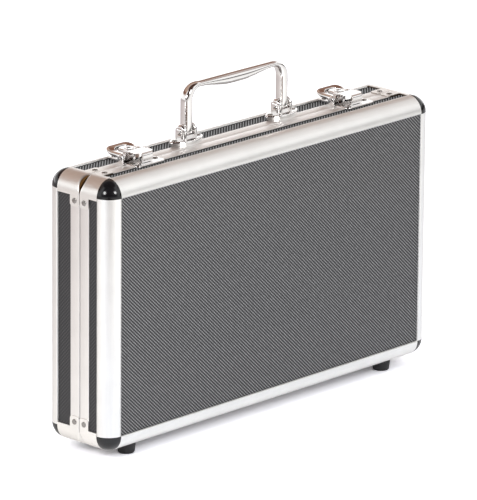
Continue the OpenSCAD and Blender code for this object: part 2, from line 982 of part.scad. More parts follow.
module latch_hook(x) {
    half = hook_w / 2;
    plate_z = hook_top - hook_t;
    neck_y = lever_y - hook_neck;
    back_y = lever_y + hook_back;
    color(c_chrome) translate([x, 0, 0]) difference() {
        union() {
            // Front plate with cut corners, its rounded bend and the lug that holds the strike
            translate([0, 0, plate_z]) linear_extrude(hook_t) polygon([
                [-half, neck_y], [-half, lug_front + hook_cut],
                [-lug_half, lug_front + hook_t], [lug_half, lug_front + hook_t],
                [half, lug_front + hook_cut], [half, neck_y],
            ]);
            translate([-lug_half, lug_front + hook_t, plate_z]) rotate([0, 90, 0])
                intersection() {
                    cylinder(h = 2 * lug_half, r = hook_t, $fn = 64);
                    translate([-hook_t, -hook_t, 0]) cube([hook_t, hook_t, 2 * lug_half]);
                }
            translate([-lug_half, lug_front, lug_z])
                cube([2 * lug_half, lug_t, plate_z - lug_z + eps]);
            // Neck between the lever's legs
            translate([-cheek_out, neck_y - eps, plate_z])
                cube([2 * cheek_out, back_y - neck_y + eps, hook_t]);
            // Cheeks down to the hook pins
            for (s = [0, 1]) mirror([s, 0, 0]) {
                lengthwise(cheek_in, cheek_out) polygon([
                    [neck_y, plate_z], [neck_y, hook_top], [hook_y, hook_top],
                    [hook_y + hook_eye_r, hook_z], [hook_y - hook_eye_r * 0.95, hook_z],
                    [hook_y - hook_eye_r * 0.7, plate_z],
                ]);
                translate([cheek_in, hook_y, hook_z]) rotate([0, 90, 0])
                    cylinder(h = cheek_t, r = hook_eye_r);
            }
        }
        pin_hole(hook_y, hook_z, hook_w, hook_pin_r + pin_fit);
    }
}

module lock_plug(x) {
    cam_half = 1.6;
    color(c_chrome) translate([x, lever_y + plug_dy, 0]) difference() {
        union() {
            translate([0, 0, plug_floor + 0.2])
                cylinder(h = z_top + plug_top - plug_floor - 0.2, r = plug_r);
            translate([-cam_half, 0, plug_floor + 0.2]) cube([2 * cam_half, cam_reach - 0.3, cam_t]);
        }
        // Key slot
        translate([-plug_r * 0.55, -0.45, z_top + plug_top - 4]) cube([plug_r * 1.1, 0.9, 5]);
        translate([0, 0, z_top + plug_top - 4]) cylinder(h = 5, r = 0.9);
    }
}

module latch_strike(x) {
    seat = z_top - seam_u;
    front = y_lid - strike_front;
    strip_y = y_lid - seam_w - 2 * slot_fit;
    color(c_chrome) difference() {
        translate([x, 0, 0]) {
            translate([0, 0, seat]) linear_extrude(strike_t) strike_outline(front);
            intersection() {
                translate([0, 0, z_top - edge_proud])
                    linear_extrude(seam_proud + eps) strike_outline(front);
                translate([-latch_half, front - 1, z_top - edge_proud])
                    cube([2 * latch_half, strip_y - front + 1, seam_proud + eps]);
            }
            // Rolled lip that the hook's lug pulls on
            translate([-lip_half, lip_front, seat])
                cube([2 * lip_half, lip_t, lip_z - lip_r - seat]);
            translate([-lip_half, lip_front + lip_r, lip_z - lip_r])
                rotate([0, 90, 0]) cylinder(h = 2 * lip_half, r = lip_r);
        }
        strike_rivets() drill(strike_t + rail_in);
    }
}

// Strike plate, as wide as the latch plate, with round corners towards the lid's big face
module strike_outline(front) {
    half = latch_half;
    round_r = strike_round;
    translate([-half, front + round_r])
        square([2 * half, y_lid - strike_back - front - round_r]);
    translate([-half + round_r, front]) square([2 * (half - round_r), round_r + eps]);
    for (s = [-1, 1]) translate([s * (half - round_r), front + round_r])
        circle(round_r, $fn = 64);
}

module latch_base_left() {
    latch_base(-latch_x);
}

module latch_base_right() {
    latch_base(latch_x);
}

module latch_lever_left() {
    latch_lever(-latch_x);
}

module latch_lever_right() {
    latch_lever(latch_x);
}

module latch_hook_left() {
    latch_hook(-latch_x);
}

module latch_hook_right() {
    latch_hook(latch_x);
}

module lock_plug_left() {
    lock_plug(-latch_x);
}

module lock_plug_right() {
    lock_plug(latch_x);
}

module latch_strike_left() {
    latch_strike(-latch_x);
}

module latch_strike_right() {
    latch_strike(latch_x);
}

module lever_pins() {
    color(c_chrome) for (s = [-1, 1]) translate([s * latch_x, 0, 0])
        pin_hole(lever_y, lever_z, latch_half + 0.3, latch_pin_r);
}

// Short pins from the lever's legs into the hook's cheeks
module hook_pins(x) {
    color(c_chrome) for (s = [0, 1]) translate([x, 0, 0]) mirror([s, 0, 0])
        translate([cheek_in - 0.2, hook_y, hook_z]) rotate([0, 90, 0])
            cylinder(h = lever_w / 2 - 1.5 - cheek_in + 0.2, r = hook_pin_r);
}

module hook_pins_left() {
    hook_pins(-latch_x);
}

module hook_pins_right() {
    hook_pins(latch_x);
}

base_back_panel();
base_top_panel();
base_bottom_panel();
base_left_panel();
base_right_panel();
base_top_rail();
base_bottom_rail();
base_left_rail();
base_right_rail();
base_seam_top();
base_seam_bottom();
base_seam_left();
base_seam_right();
base_ball_corners();
base_corner_plates();
base_rivets();
base_feet();
base_liner();
lid_front_panel();
lid_top_panel();
lid_bottom_panel();
lid_left_panel();
lid_right_panel();
lid_top_rail();
lid_bottom_rail();
lid_left_rail();
lid_right_rail();
lid_seam_top();
lid_seam_bottom();
lid_seam_left();
lid_seam_right();
lid_ball_corners();
lid_corner_plates();
lid_rivets();
lid_feet();
lid_liner();
hinge_leaves_base();
hinge_leaves_lid();
hinge_pins();
handle();
handle_mount_left();
handle_mount_right();
handle_pins();
latch_base_left();
latch_base_right();
latch_lever_left();
latch_lever_right();
latch_hook_left();
latch_hook_right();
lock_plug_left();
lock_plug_right();
latch_strike_left();
latch_strike_right();
lever_pins();
hook_pins_left();
hook_pins_right();
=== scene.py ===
"""Looks of a small aluminium flight case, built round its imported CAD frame.

Every shape below is worked out in millimetres and put into its mesh in metres.
"""

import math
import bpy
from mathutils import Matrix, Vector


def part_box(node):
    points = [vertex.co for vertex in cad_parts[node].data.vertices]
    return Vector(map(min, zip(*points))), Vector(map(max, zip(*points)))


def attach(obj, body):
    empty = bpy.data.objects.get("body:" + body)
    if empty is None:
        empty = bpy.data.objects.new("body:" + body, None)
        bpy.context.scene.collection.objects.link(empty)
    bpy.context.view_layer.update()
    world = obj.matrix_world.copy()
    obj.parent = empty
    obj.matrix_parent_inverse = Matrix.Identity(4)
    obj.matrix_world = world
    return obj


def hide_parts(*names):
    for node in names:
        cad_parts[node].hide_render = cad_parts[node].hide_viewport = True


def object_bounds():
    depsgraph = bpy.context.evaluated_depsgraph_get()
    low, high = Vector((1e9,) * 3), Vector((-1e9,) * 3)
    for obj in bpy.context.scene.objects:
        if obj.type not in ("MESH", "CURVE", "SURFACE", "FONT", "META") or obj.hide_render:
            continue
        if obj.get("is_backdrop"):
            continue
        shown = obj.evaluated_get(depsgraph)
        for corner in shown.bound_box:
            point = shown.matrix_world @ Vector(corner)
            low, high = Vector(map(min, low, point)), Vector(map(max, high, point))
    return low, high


bl_info = {
    "name": "Aluminium flight case",
    "version": (1, 0, 0),
    "blender": (4, 5, 0),
    "location": "View3D > Sidebar > Flight Case",
    "description": "Finishes the rails, corners, panels and hardware of a small flight case",
    "category": "Object",
}

import bmesh
import bpy
import numpy as np

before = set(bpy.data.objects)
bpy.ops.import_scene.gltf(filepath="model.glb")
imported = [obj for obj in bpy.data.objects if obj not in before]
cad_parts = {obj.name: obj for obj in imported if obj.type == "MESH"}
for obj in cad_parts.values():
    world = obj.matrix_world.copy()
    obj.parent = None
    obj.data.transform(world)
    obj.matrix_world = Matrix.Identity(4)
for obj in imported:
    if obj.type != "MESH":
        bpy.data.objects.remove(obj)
cad_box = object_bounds()


def span(node):
    """Lowest corner, highest corner and middle of a CAD node's box, in millimetres."""
    low, high = (np.array(corner) * 1000 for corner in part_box(node))
    return low, high, (low + high) / 2


# Sizes that the frame fixes, in millimetres
X_END = span("base_right_rail")[1][0]
Z_LOW = span("base_corner_plates")[0][2]
Z_TOP = span("base_corner_plates")[1][2]
Z_MID = (Z_TOP + Z_LOW) / 2
EDGE = span("base_left_rail")[0][2] - Z_LOW
Y_FRONT = span("lid_left_rail")[0][1]
Y_BACK = span("base_left_rail")[1][1]
Y_LID = span("lid_seam_left")[1][1]
Y_BASE = span("base_corner_plates")[0][1]
PANEL_OUT = span("lid_front_panel")[0][1] - Y_FRONT
PANEL_IN = span("lid_front_panel")[1][1] - Y_FRONT
PANEL_GRIP = EDGE - (X_END - span("lid_front_panel")[1][0])
SEAM_OUT = X_END - span("lid_seam_right")[1][0]
RAIL_IN = X_END + span("lid_seam_left")[1][0]
SEAM_W = Y_LID - span("lid_seam_left")[0][1]
TONGUE_IN = X_END + span("base_seam_left")[1][0]
TONGUE_OUT = Y_BASE - span("base_seam_left")[0][1]
SEAT = Z_TOP - SEAM_OUT
# Rows of the block under a fitting: from the panel beside the rail up into its plate
UNDER_SEAT = ((0, Z_TOP - PANEL_OUT + 0.1), (0, SEAT + 0.3))

# How far apart the points round a bore stand, and the wall that an inset leaves beside it
BORE_STEP = 0.35
BORE_WALL = 0.2

# Rails, balls and corner plates
SLOT_FIT = 0.05
WEB = 1.2
SEAM_INNER = 7.0
BALL_WALL = 1.8
CORNER_SHEET = 1.2
CORNER_LAP = 2.0
CORNER_FLANGE = 5.0
TAB_SHEET = 0.55
TAB_EDGE_R = 0.5
TAB_CORNER_R = 2.0
TAB_END = 10.0
TAB_TOP = 14.0
RIVET_R = 2.1
SHANK_R = 1.2
RIVET_END = 5.8
RIVET_TOP = 8.0

# Feet
FOOT_R = 7.0
RECESS_R = 3.6
RECESS_TOP = 3.0

# Handle mounts and latches
MOUNT_T = 3.0
HANDLE_PIN_R = 1.5
EAR_GAP = 4.05
EAR_T = 3.2
LEVER_LEG = 4.7
LEVER_START = 1.7
LEVER_END = 3.65
LEVER_T = 3.4
LEVER_BEND = 9.0
LEVER_RISE = 2.1
LATCH_PIN_R = 1.25
HOOK_PIN_R = 1.0
HOOK_CUT = 4.0
HOOK_T = 1.5
HOOK_EYE_R = 1.75
LUG_T = 1.2
CHEEK_OUT = 7.85
CHEEK_T = 1.2
PLATE_T = 1.2
LATCH_PLATE_HALF = 10.2
EAR_SHEET = 1.5
EYE_R = 2.8
LOCK_W = 12.4
PLUG_R = 3.4
LIP_R = 1.3
LIP_HALF = 4.5
PIN_FIT = 0.06

# Each half of the case: name, place of its big face, way to its seam, depth
SHELLS = (("lid", Y_FRONT, 1, Y_LID - Y_FRONT), ("base", Y_BACK, -1, Y_BACK - Y_BASE))
ENDS = ("left", "right")
SIDES = ENDS + ("bottom", "top")


def linear(code):
    """Scene-linear colour of a six-digit sRGB code."""
    raw = np.array([int(code[i:i + 2], 16) for i in (0, 2, 4)]) / 255
    return tuple(np.where(raw <= 0.04045, raw / 12.92, ((raw + 0.055) / 1.055) ** 2.4))


def colour_prop(name, text, code):
    return bpy.props.FloatVectorProperty(
        name=name, description=text, default=linear(code), size=3, min=0.0, max=1.0,
        subtype="COLOR")


def length_prop(name, text, millimetres):
    return bpy.props.FloatProperty(
        name=name, description=text, default=millimetres / 1000, min=0.0, precision=5,
        subtype="DISTANCE", unit="LENGTH")


class FlightCaseSizes(bpy.types.PropertyGroup):
    """Small sizes that belong to the finish, not to the frame."""

    rail_fillet: length_prop("Rail fillet", "Rounding of the rails' long edges", 0.45)
    rib_pitch: length_prop("Rib pitch", "Distance between panel ribs along the case", 2.79)
    rib_lean: bpy.props.FloatProperty(
        name="Rib lean", description="Run of a rib across the panel for each unit along it",
        default=1.075, min=0.2, max=5.0)
    rib_height: length_prop("Rib height", "Height of the panel ribs", 0.2)
    lip_round: length_prop(
        "Seam lip", "Largest rounding of a corner plate's seam edge", 3.8)
    rivet_dome: length_prop("Rivet dome", "Height of the rivet heads", 0.7)
    hardware_edge: length_prop(
        "Hardware edge", "Rounding of the edges of the chromed hardware", 0.3)


class FlightCaseColours(bpy.types.PropertyGroup):
    """Colours of the finishes."""

    rail: colour_prop("Rails", "Satin aluminium of the edge rails", "f3f2f0")
    seam: colour_prop("Seam rails", "Satin aluminium of the rails at the seam", "efedeb")
    plate: colour_prop("Corner plates", "Smooth aluminium of the corner plates", "f4f2ef")
    panel: colour_prop("Panels", "Grooves of the ribbed plastic panels", "1a1a1c")
    # Crest colours are painted highlight: the light that the embossed ribs catch, put into their
    # colour, duller on the ends
    rib: colour_prop("Panel ribs", "Crests of the ribbed plastic panels", "9f9fa1")
    strip_rib: colour_prop("End ribs", "Crests of the panels on the ends", "4c4a4d")
    ball: colour_prop("Ball corners", "Gloss plastic of the ball corners", "101012")
    chrome: colour_prop("Chrome", "Plating of the handle, latches and hinges", "eeeceb")
    # Rivet colour: steel grey, darkened further as painted reflection of the dark room on the
    # domes
    rivet: colour_prop("Rivets", "Steel of the rivet heads", "9b9895")
    rubber: colour_prop("Feet", "Rubber of the feet", "1d1d1f")
    lining: colour_prop("Lining", "Foam sheets inside both halves", "2a2a2d")
    floor: colour_prop("Floor", "Floor under the case", "f4f3f3")


# Shapes: grids of points, and closed bodies made from them


def fillet(corners, steps=4):
    """Outline with rounded corners, from rows of (x, y, radius).

    Each corner gives way to an arc that touches both its sides: the arc's centre lies on the
    corner's bisector, radius over the sine of the half angle away, and its points turn evenly
    from one touching point to the other. A corner of radius 0 stays one point.
    """
    c = np.asarray(corners, float)
    p, r = c[:, :2], c[:, 2]
    a, b = np.roll(p, 1, 0) - p, np.roll(p, -1, 0) - p
    a /= np.linalg.norm(a, axis=1)[:, None]
    b /= np.linalg.norm(b, axis=1)[:, None]
    angle = np.arccos(np.clip((a * b).sum(1), -1, 1))
    reach = r / np.tan(angle / 2)
    bisector = (a + b) / np.maximum(np.linalg.norm(a + b, axis=1), 1e-9)[:, None]
    centre = p + bisector * (r / np.sin(angle / 2))[:, None]
    v1, v2 = p + a * reach[:, None] - centre, p + b * reach[:, None] - centre
    turn = (math.pi - angle)[:, None, None]
    t = np.linspace(0, 1, steps + 1)[None, :, None]
    arc = centre[:, None] + (
        np.sin((1 - t) * turn) * v1[:, None] + np.sin(t * turn) * v2[:, None]
    ) / np.sin(turn)
    keep = (r[:, None] > 0) | (np.arange(steps + 1)[None] == 0)
    arc[r == 0, 0] = p[r == 0]
    return arc[keep]


def rectangle(x0, y0, x1, y1, low, high, steps):
    """Outline of a rectangle, with a radius for its low and one for its high corners."""
    return fillet([(x0, y0, low), (x1, y0, low), (x1, y1, high), (x0, y1, high)], steps)


def refined(outline, step):
    """Outline with further points on its sides, about one step apart."""
    ring = np.concatenate([outline, outline[:1]])
    way = np.concatenate([[0], np.cumsum(np.linalg.norm(np.diff(ring, axis=0), axis=1))])
    grid = np.arange(step / 2, way[-1], step)
    grid = grid[np.abs(grid[:, None] - way[None]).min(1) > step / 4]
    t = np.unique(np.concatenate([way[:-1], grid]))
    return np.stack([np.interp(t, way, ring[:, 0]), np.interp(t, way, ring[:, 1])], -1)


def inset(outline, depth):
    """Outline with each point moved inward, square to the line between its neighbours."""
    along = np.roll(outline, -1, 0) - np.roll(outline, 1, 0)
    along /= np.linalg.norm(along, axis=1)[:, None]
    return outline - depth * np.stack([along[:, 1], -along[:, 0]], -1)


def soft_edges(start, stop, low, high, steps=4):
    """Rows of (inset, height) from start to stop, with a quarter circle at each edge."""
    way = math.copysign(1.0, stop - start)
    a = np.radians(np.linspace(90, 0, steps + 1))
    rows = [(low * (1 - math.cos(t)), start + way * low * (1 - math.sin(t))) for t in a]
    return rows + [(high * (1 - math.cos(t)), stop - way * high * (1 - math.sin(t)))
                   for t in a[::-1]]


def circle(count):
    """Evenly spaced points of the unit circle."""
    t = np.linspace(0, 2 * math.pi, count, endpoint=False)
    return np.stack([np.cos(t), np.sin(t)], -1)


def quads(rows, cols, close_rows=False, close_cols=False):
    """Corner numbers of the faces between neighbours on a grid of points."""
    i = np.arange(rows if close_rows else rows - 1)[:, None]
    j = np.arange(cols if close_cols else cols - 1)[None]
    i2, j2 = (i + 1) % rows, (j + 1) % cols
    return np.stack([i * cols + j, i * cols + j2, i2 * cols + j2, i2 * cols + j],
                    -1).reshape(-1, 4)


class Body:
    """Points and faces gathered for one piece, in millimetres."""

    def __init__(self):
        self.points, self.faces, self.count = [], [], 0

    def add(self, points, faces):
        points = np.asarray(points, float).reshape(-1, 3)
        self.points.append(points)
        self.faces += (np.asarray(f) + self.count for f in faces)
        self.count += len(points)

    def loft(self, rings, place=None, closed=False):
        """Closed rings carried along a path, with flat ends or joined end to end.

        With a place function the rings are pairs of a flat outline and its height.
        """
        if place:
            rings = [place(r[:, 0], r[:, 1], np.full(len(r), h)) for r, h in rings]
        rings = np.asarray(rings, float)
        m, n = rings.shape[:2]
        faces = list(quads(m, n, closed, True))
        if not closed:
            faces += [np.arange(n), np.arange(m * n - 1, (m - 1) * n - 1, -1)]
        self.add(rings, faces)

    def slab(self, outline, rows, place):
        """Solid with flat ends, its outline carried through rows of (inset, height)."""
        self.loft([(inset(outline, depth), h) for depth, h in rows], place)

    def bored(self, outline, outside, bore, place):
        """Solid between an outline and a round bore at the outline's origin.

        The outside and the bore are rows of (inset, height) and of (radius, height). Every
        point of the bore stands at the same angle as its point of the outline.
        """
        outline = refined(outline, BORE_STEP)
        t = np.arctan2(outline[:, 1], outline[:, 0])
        ring = np.stack([np.cos(t), np.sin(t)], -1)
        room = np.hypot(outline[:, :1], outline[:, 1:]) - bore[0][0] - BORE_WALL
        self.loft([(inset(outline, np.clip(room, 0, depth)), h) for depth, h in outside]
                  + [(ring * radius, h) for radius, h in bore], place, True)

    def ears(self, outline, near, far, soft, radius, place):
        """Bored slabs on both sides of the middle, each from near to far along the bore."""
        for s in (-1, 1):
            self.bored(outline, soft_edges(s * near, s * far, *soft),
                       [(radius, s * far), (radius, s * near)], place)

    def sheet(self, outer, inner):
        """Two grids of the same size, joined round their rims into a closed sheet."""
        m, n = outer.shape[:2]
        k = m * n
        faces = quads(m, n)
        walls = [np.arange(n), np.arange(n) + (m - 1) * n, np.arange(m) * n,
                 np.arange(m) * n + n - 1]
        rims = [np.stack([w[:-1], w[1:], w[1:] + k, w[:-1] + k], -1) for w in walls]
        self.add(np.concatenate([outer.reshape(-1, 3), inner.reshape(-1, 3)]),
                 np.concatenate([faces, faces + k] + rims))

    def turned(self, profile, origin, axis, steps):
        """Profile of (radius, height) turned round a level or upright axis."""
        profile = np.asarray(profile, float)
        side = np.cross(axis, (0.0, 1.0, 0.0))
        ring = circle(steps) @ np.stack([side, np.cross(axis, side)])
        points = (np.asarray(origin, float) + profile[:, None, :1] * ring[None]
                  + profile[:, None, 1:] * np.asarray(axis, float))
        self.add(points, quads(len(profile), steps, False, True))


def side_view(x, y, z):
    """Turns (y, z, x) of a side view, measured from a point, into points."""
    return lambda a, b, w: np.stack([x + w, y + a, z + b], -1)


def plan_view(x, y=0.0):
    """Turns (x, y, z) of a plan, measured from an upright axis, into points."""
    return lambda a, b, w: np.stack([x + a, y + b, w], -1)


def edge_place(shell, side):
    """Turns (depth below a side face, distance from the big face, place along) into points."""
    near = {"left": -X_END, "right": X_END, "bottom": Z_LOW, "top": Z_TOP}[side]
    inward = 1 if side in ("left", "bottom") else -1

    def place(u, v, w):
        across, y = near + inward * u, shell[1] + shell[2] * v
        return np.stack([across, y, w] if side in ENDS else [w, y, across], -1)

    return place


def side_reach(side):
    """Where the straight stretch of a side starts and ends, between the ball corners."""
    if side in ENDS:
        return Z_LOW + EDGE, Z_TOP - EDGE
    return -X_END + EDGE, X_END - EDGE


def corner_places(shell):
    """The four corners of a shell as (place function, x sign, z sign).

    The function takes distances inward from the end face, from the big face and from the top
    or bottom face.
    """
    half = (Z_TOP - Z_LOW) / 2
    for sx in (-1, 1):
        for sz in (-1, 1):
            def place(a, v, c, sx=sx, sz=sz):
                return np.stack([sx * (X_END - a), shell[1] + shell[2] * v,
                                 Z_MID + sz * (half - c)], -1)
            yield place, sx, sz


def finish_piece(body, name, look, ride, node, sharp=40, bevel=0.0, even=False):
    """Puts a body into a mesh, closes its seams, gives it its finish and its body, and hides the
    CAD node that it replaces.
    """
    mesh = bpy.data.meshes.new(name)
    mesh.from_pydata((np.concatenate(body.points) / 1000).tolist(), [],
                     [face.tolist() for face in body.faces])
    work = bmesh.new()
    work.from_mesh(mesh)
    bmesh.ops.remove_doubles(work, verts=work.verts, dist=2e-6)
    bmesh.ops.dissolve_degenerate(work, edges=work.edges, dist=1e-7)
    bmesh.ops.recalc_face_normals(work, faces=work.faces)
    work.to_mesh(mesh)
    work.free()
    mesh.shade_smooth()
    mesh.set_sharp_from_angle(angle=math.radians(sharp))
    mesh.materials.append(finish(look))
    piece = bpy.data.objects.new(name, mesh)
    bpy.context.scene.collection.objects.link(piece)
    if bevel:
        round_edges(piece, bevel, sharp)
    elif even:
        even_faces(piece)
    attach(piece, ride)
    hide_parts(node)


def dress_node(node, look, width=0.0):
    """Finishes a CAD node as it stands: merged points, rounded edges, its material."""
    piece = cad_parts[node]
    piece.data.materials.clear()
    piece.data.materials.append(finish(look))
    weld = piece.modifiers.new("Joined points", "WELD")
    weld.merge_threshold = 1e-5
    piece.data.shade_smooth()
    if width:
        round_edges(piece, width, 35)
    even_faces(piece)


def round_edges(piece, width, angle):
    """Rounds the sharp edges of a piece and keeps its flat faces flat."""
    bevel = piece.modifiers.new("Rounded edges", "BEVEL")
    bevel.width = width / 1000
    bevel.segments = 3
    bevel.limit_method = "ANGLE"
    bevel.angle_limit = math.radians(angle)
    bevel.use_clamp_overlap = True
    bevel.miter_outer = "MITER_ARC"
    bevel.harden_normals = True


def even_faces(piece):
    """Lets the large faces set the shading, so that flats stay flat beside their edges."""
    smooth = piece.modifiers.new("Even faces", "WEIGHTED_NORMAL")
    smooth.keep_sharp = True
    smooth.weight = 100


# Finishes


class Graph:
    """Short way to write a node tree."""

    def __init__(self, tree):
        self.tree = tree
        tree.nodes.clear()

    def set(self, socket, value):
        """Links a socket to another, or gives it a number or a colour."""
        if isinstance(value, bpy.types.NodeSocket):
            self.tree.links.new(value, socket)
        elif isinstance(value, tuple):
            socket.default_value = value[:3] + (1.0,) if socket.type == "RGBA" else value
        else:
            socket.default_value = value

    def node(self, kind, inputs=None, **settings):
        """Adds a node with its settings, and its inputs as sockets or values."""
        made = self.tree.nodes.new(kind)
        for key, value in settings.items():
            setattr(made, key, value)
        for key, value in (inputs or {}).items():
            self.set(made.inputs[key], value)
        return made

    def math(self, operation, *values):
        """Result of one sum on sockets and numbers."""
        return self.node("ShaderNodeMath", dict(enumerate(values)),
                         operation=operation).outputs[0]

    def ramp(self, value, low, high, to_low=0.0, to_high=1.0):
        """Smooth step of a value between two limits."""
        return self.node("ShaderNodeMapRange", {
            "Value": value, "From Min": low, "From Max": high, "To Min": to_low,
            "To Max": to_high}, interpolation_type="SMOOTHSTEP").outputs["Result"]

    def blend(self, factor, a, b):
        """Colour between a, where the factor is 0, and b, where it is 1."""
        return self.node("ShaderNodeMix", {"Factor": factor, 6: a, 7: b},
                         data_type="RGBA").outputs[2]

    def noise(self, scale, detail, roughness=0.5, stretch=(1, 1, 1)):
        """Grain by the place on the object, drawn out where the stretch is small."""
        mapped = self.node("ShaderNodeMapping", {"Scale": stretch, "Vector": self.vector()})
        return self.node("ShaderNodeTexNoise", {
            "Scale": scale, "Detail": detail, "Roughness": roughness,
            "Vector": mapped.outputs[0]}).outputs["Fac"]

    def vector(self, kind="Object"):
        """Place on the object or, for Generated, direction in the world."""
        return self.node("ShaderNodeTexCoord").outputs[kind]

    def place(self, kind="Object"):
        """The x, y and z of that vector."""
        return self.node("ShaderNodeSeparateXYZ", {0: self.vector(kind)}).outputs

    def along(self, way):
        """Place along a direction."""
        return self.node("ShaderNodeVectorMath", {0: self.vector(), 1: way},
                         operation="DOT_PRODUCT").outputs["Value"]


def new_material(name, colour, kind="ShaderNodeBsdfPrincipled"):
    """Material with one shader, and the graph that it is written in."""
    material = bpy.data.materials.new(name)
    material.use_nodes = True
    material.diffuse_color = colour + (1.0,)
    graph = Graph(material.node_tree)
    shader = graph.node(kind)
    graph.node("ShaderNodeOutputMaterial", {"Surface": shader.outputs[0]})
    return material, graph, shader


def surface(graph, shader, tone, rough, height, strength, distance):
    """Gives a shader its tone, its roughness and its relief."""
    bump = graph.node("ShaderNodeBump", {
        "Height": height, "Strength": strength, "Distance": distance})
    for key, value in (("Base Color", tone), ("Roughness", rough),
                       ("Normal", bump.outputs[0])):
        graph.set(shader.inputs[key], value)


def shade(colour, factor):
    """The colour made darker or lighter, no channel above 1."""
    return tuple(min(1.0, c * factor) for c in colour)


def painted_groove_shade_mask(graph):
    """1 down in the grooves of the upper corners, where brown shade and reflection are painted,
    0 elsewhere.

    The depth below the rounded outline of the case is the edge radius less the distance from
    the axis of the bend, with the distances along the end and along the top cut off at 0
    beyond the bend.
    """
    x, _, z = graph.place()
    squares = []
    for value, start in ((x, X_END - EDGE),
                         (graph.math("SUBTRACT", z, Z_MID / 1000), (Z_TOP - Z_LOW) / 2 - EDGE)):
        past = graph.math("SUBTRACT", graph.math("ABSOLUTE", value), start / 1000)
        squares.append(graph.math("POWER", graph.math("MAXIMUM", past, 0.0), 2.0))
    away = graph.math("SQRT", graph.math("ADD", *squares))
    depth = graph.math("SUBTRACT", EDGE / 1000, away)
    return graph.math("MULTIPLY", graph.ramp(depth, 0.0001, 0.0007),
                      graph.ramp(z, Z_MID / 1000, Z_MID / 1000 + 0.05))


def aluminium(name, colour, rough, stretch, streaks=0.04, grooves=False):
    """Satin aluminium: fine drawn streaks along the bar, in roughness, tone and relief.

    Where it has grooves, it is brown and dull down in them, in the upper corners only: painted
    shade and reflection.
    """
    material, graph, shader = new_material(name, colour)
    fine, broad = graph.noise(1400, 2.0, stretch=stretch), graph.noise(60, 3.0)
    tone = graph.blend(graph.ramp(broad, 0.3, 0.7), shade(colour, 0.96), colour)
    tone = graph.blend(graph.ramp(fine, 0.25, 0.75, 0.0, streaks * 4), tone,
                       shade(colour, 0.86))
    dull = graph.ramp(fine, 0.2, 0.8, rough - 0.05, rough + 0.06)
    if grooves:
        deep = painted_groove_shade_mask(graph)
        # Painted shade and reflection: brown down in the grooves of the upper corners
        tone = graph.blend(deep, tone, linear("6a4c2c"))
        dull = graph.blend(deep, dull, (0.5, 0.5, 0.5))
    shader.inputs["Metallic"].default_value = 1.0
    surface(graph, shader, tone, dull, fine, 0.05, 0.00004)
    return material


def chrome(name, colour, rough):
    """Polished plating: slight waviness in relief, and faint handling haze in roughness."""
    material, graph, shader = new_material(name, colour)
    haze = graph.noise(90, 4.0, 0.6)
    shader.inputs["Metallic"].default_value = 1.0
    surface(graph, shader,
            graph.blend(graph.ramp(haze, 0.35, 0.75), colour, shade(colour, 0.93)),
            graph.ramp(haze, 0.3, 0.8, rough, rough + 0.08), graph.noise(160, 2.0), 0.08, 0.0002)
    return material


def plastic(name, colour, low, high, grain, dull, strength, distance):
    """Moulded plastic, rubber or foam with a grain of the given scale, detail and roughness.

    The grain sets the tone between two shades of the colour, the roughness between two
    limits, and the relief.
    """
    material, graph, shader = new_material(name, colour)
    grain = graph.noise(*grain)
    surface(graph, shader,
            graph.blend(graph.ramp(grain, 0.3, 0.7), shade(colour, low), shade(colour, high)),
            graph.ramp(grain, 0.3, 0.7, *dull), grain, strength, distance)
    return material


def ribbed_plastic(name, groove, painted_crest_highlight, rows, cross, pitch, shaded_margins=(), gloss=0.5,
                   breaks=0.45):
    """Dark laminate: light dashes in slanting rows, as on an embossed weave. Their light colour
    is painted highlight on the ribs.

    Two waves, each the cosine of the distance along its direction over the pitch. The first
    makes the rows. The second crosses them and breaks each row into dashes. Margins are
    places across the sheet, in millimetres: beside them the dashes fade to dark, as painted
    shade where the sheet meets a rail.
    """
    material, graph, shader = new_material(name, groove)
    row_wave, dash_wave = (
        graph.math("COSINE", graph.along(tuple(np.asarray(way, float) / pitch * 2 * math.pi)))
        for way in (rows, cross))
    grain, uneven = graph.noise(900, 2.0), graph.noise(260, 1.0)
    mask = graph.math("MULTIPLY", graph.ramp(row_wave, -0.25, 0.85),
                      graph.ramp(dash_wave, -0.9, 0.6, breaks, 1.0))
    mask = graph.math("MULTIPLY", mask, graph.ramp(uneven, 0.3, 0.7, 0.8, 1.0))
    y = graph.place()[1]
    # Painted shade: the dashes fade to dark within about 1.5 mm of each rail
    for edge in shaded_margins:
        off = graph.math("ABSOLUTE", graph.math("SUBTRACT", y, edge / 1000))
        mask = graph.math("MULTIPLY", mask, graph.ramp(off, 0.0012, 0.0017))
    tone = graph.blend(graph.ramp(grain, 0.3, 0.7, 0.0, 0.15),
                       # Painted highlight: the dashes take the light crest colour
                       graph.blend(mask, groove, painted_crest_highlight), shade(groove, 0.6))
    shader.inputs["Specular IOR Level"].default_value = gloss
    surface(graph, shader, tone, graph.ramp(grain, 0.2, 0.8, 0.38, 0.52), grain, 0.25, 0.00006)
    return material


finishes = {}


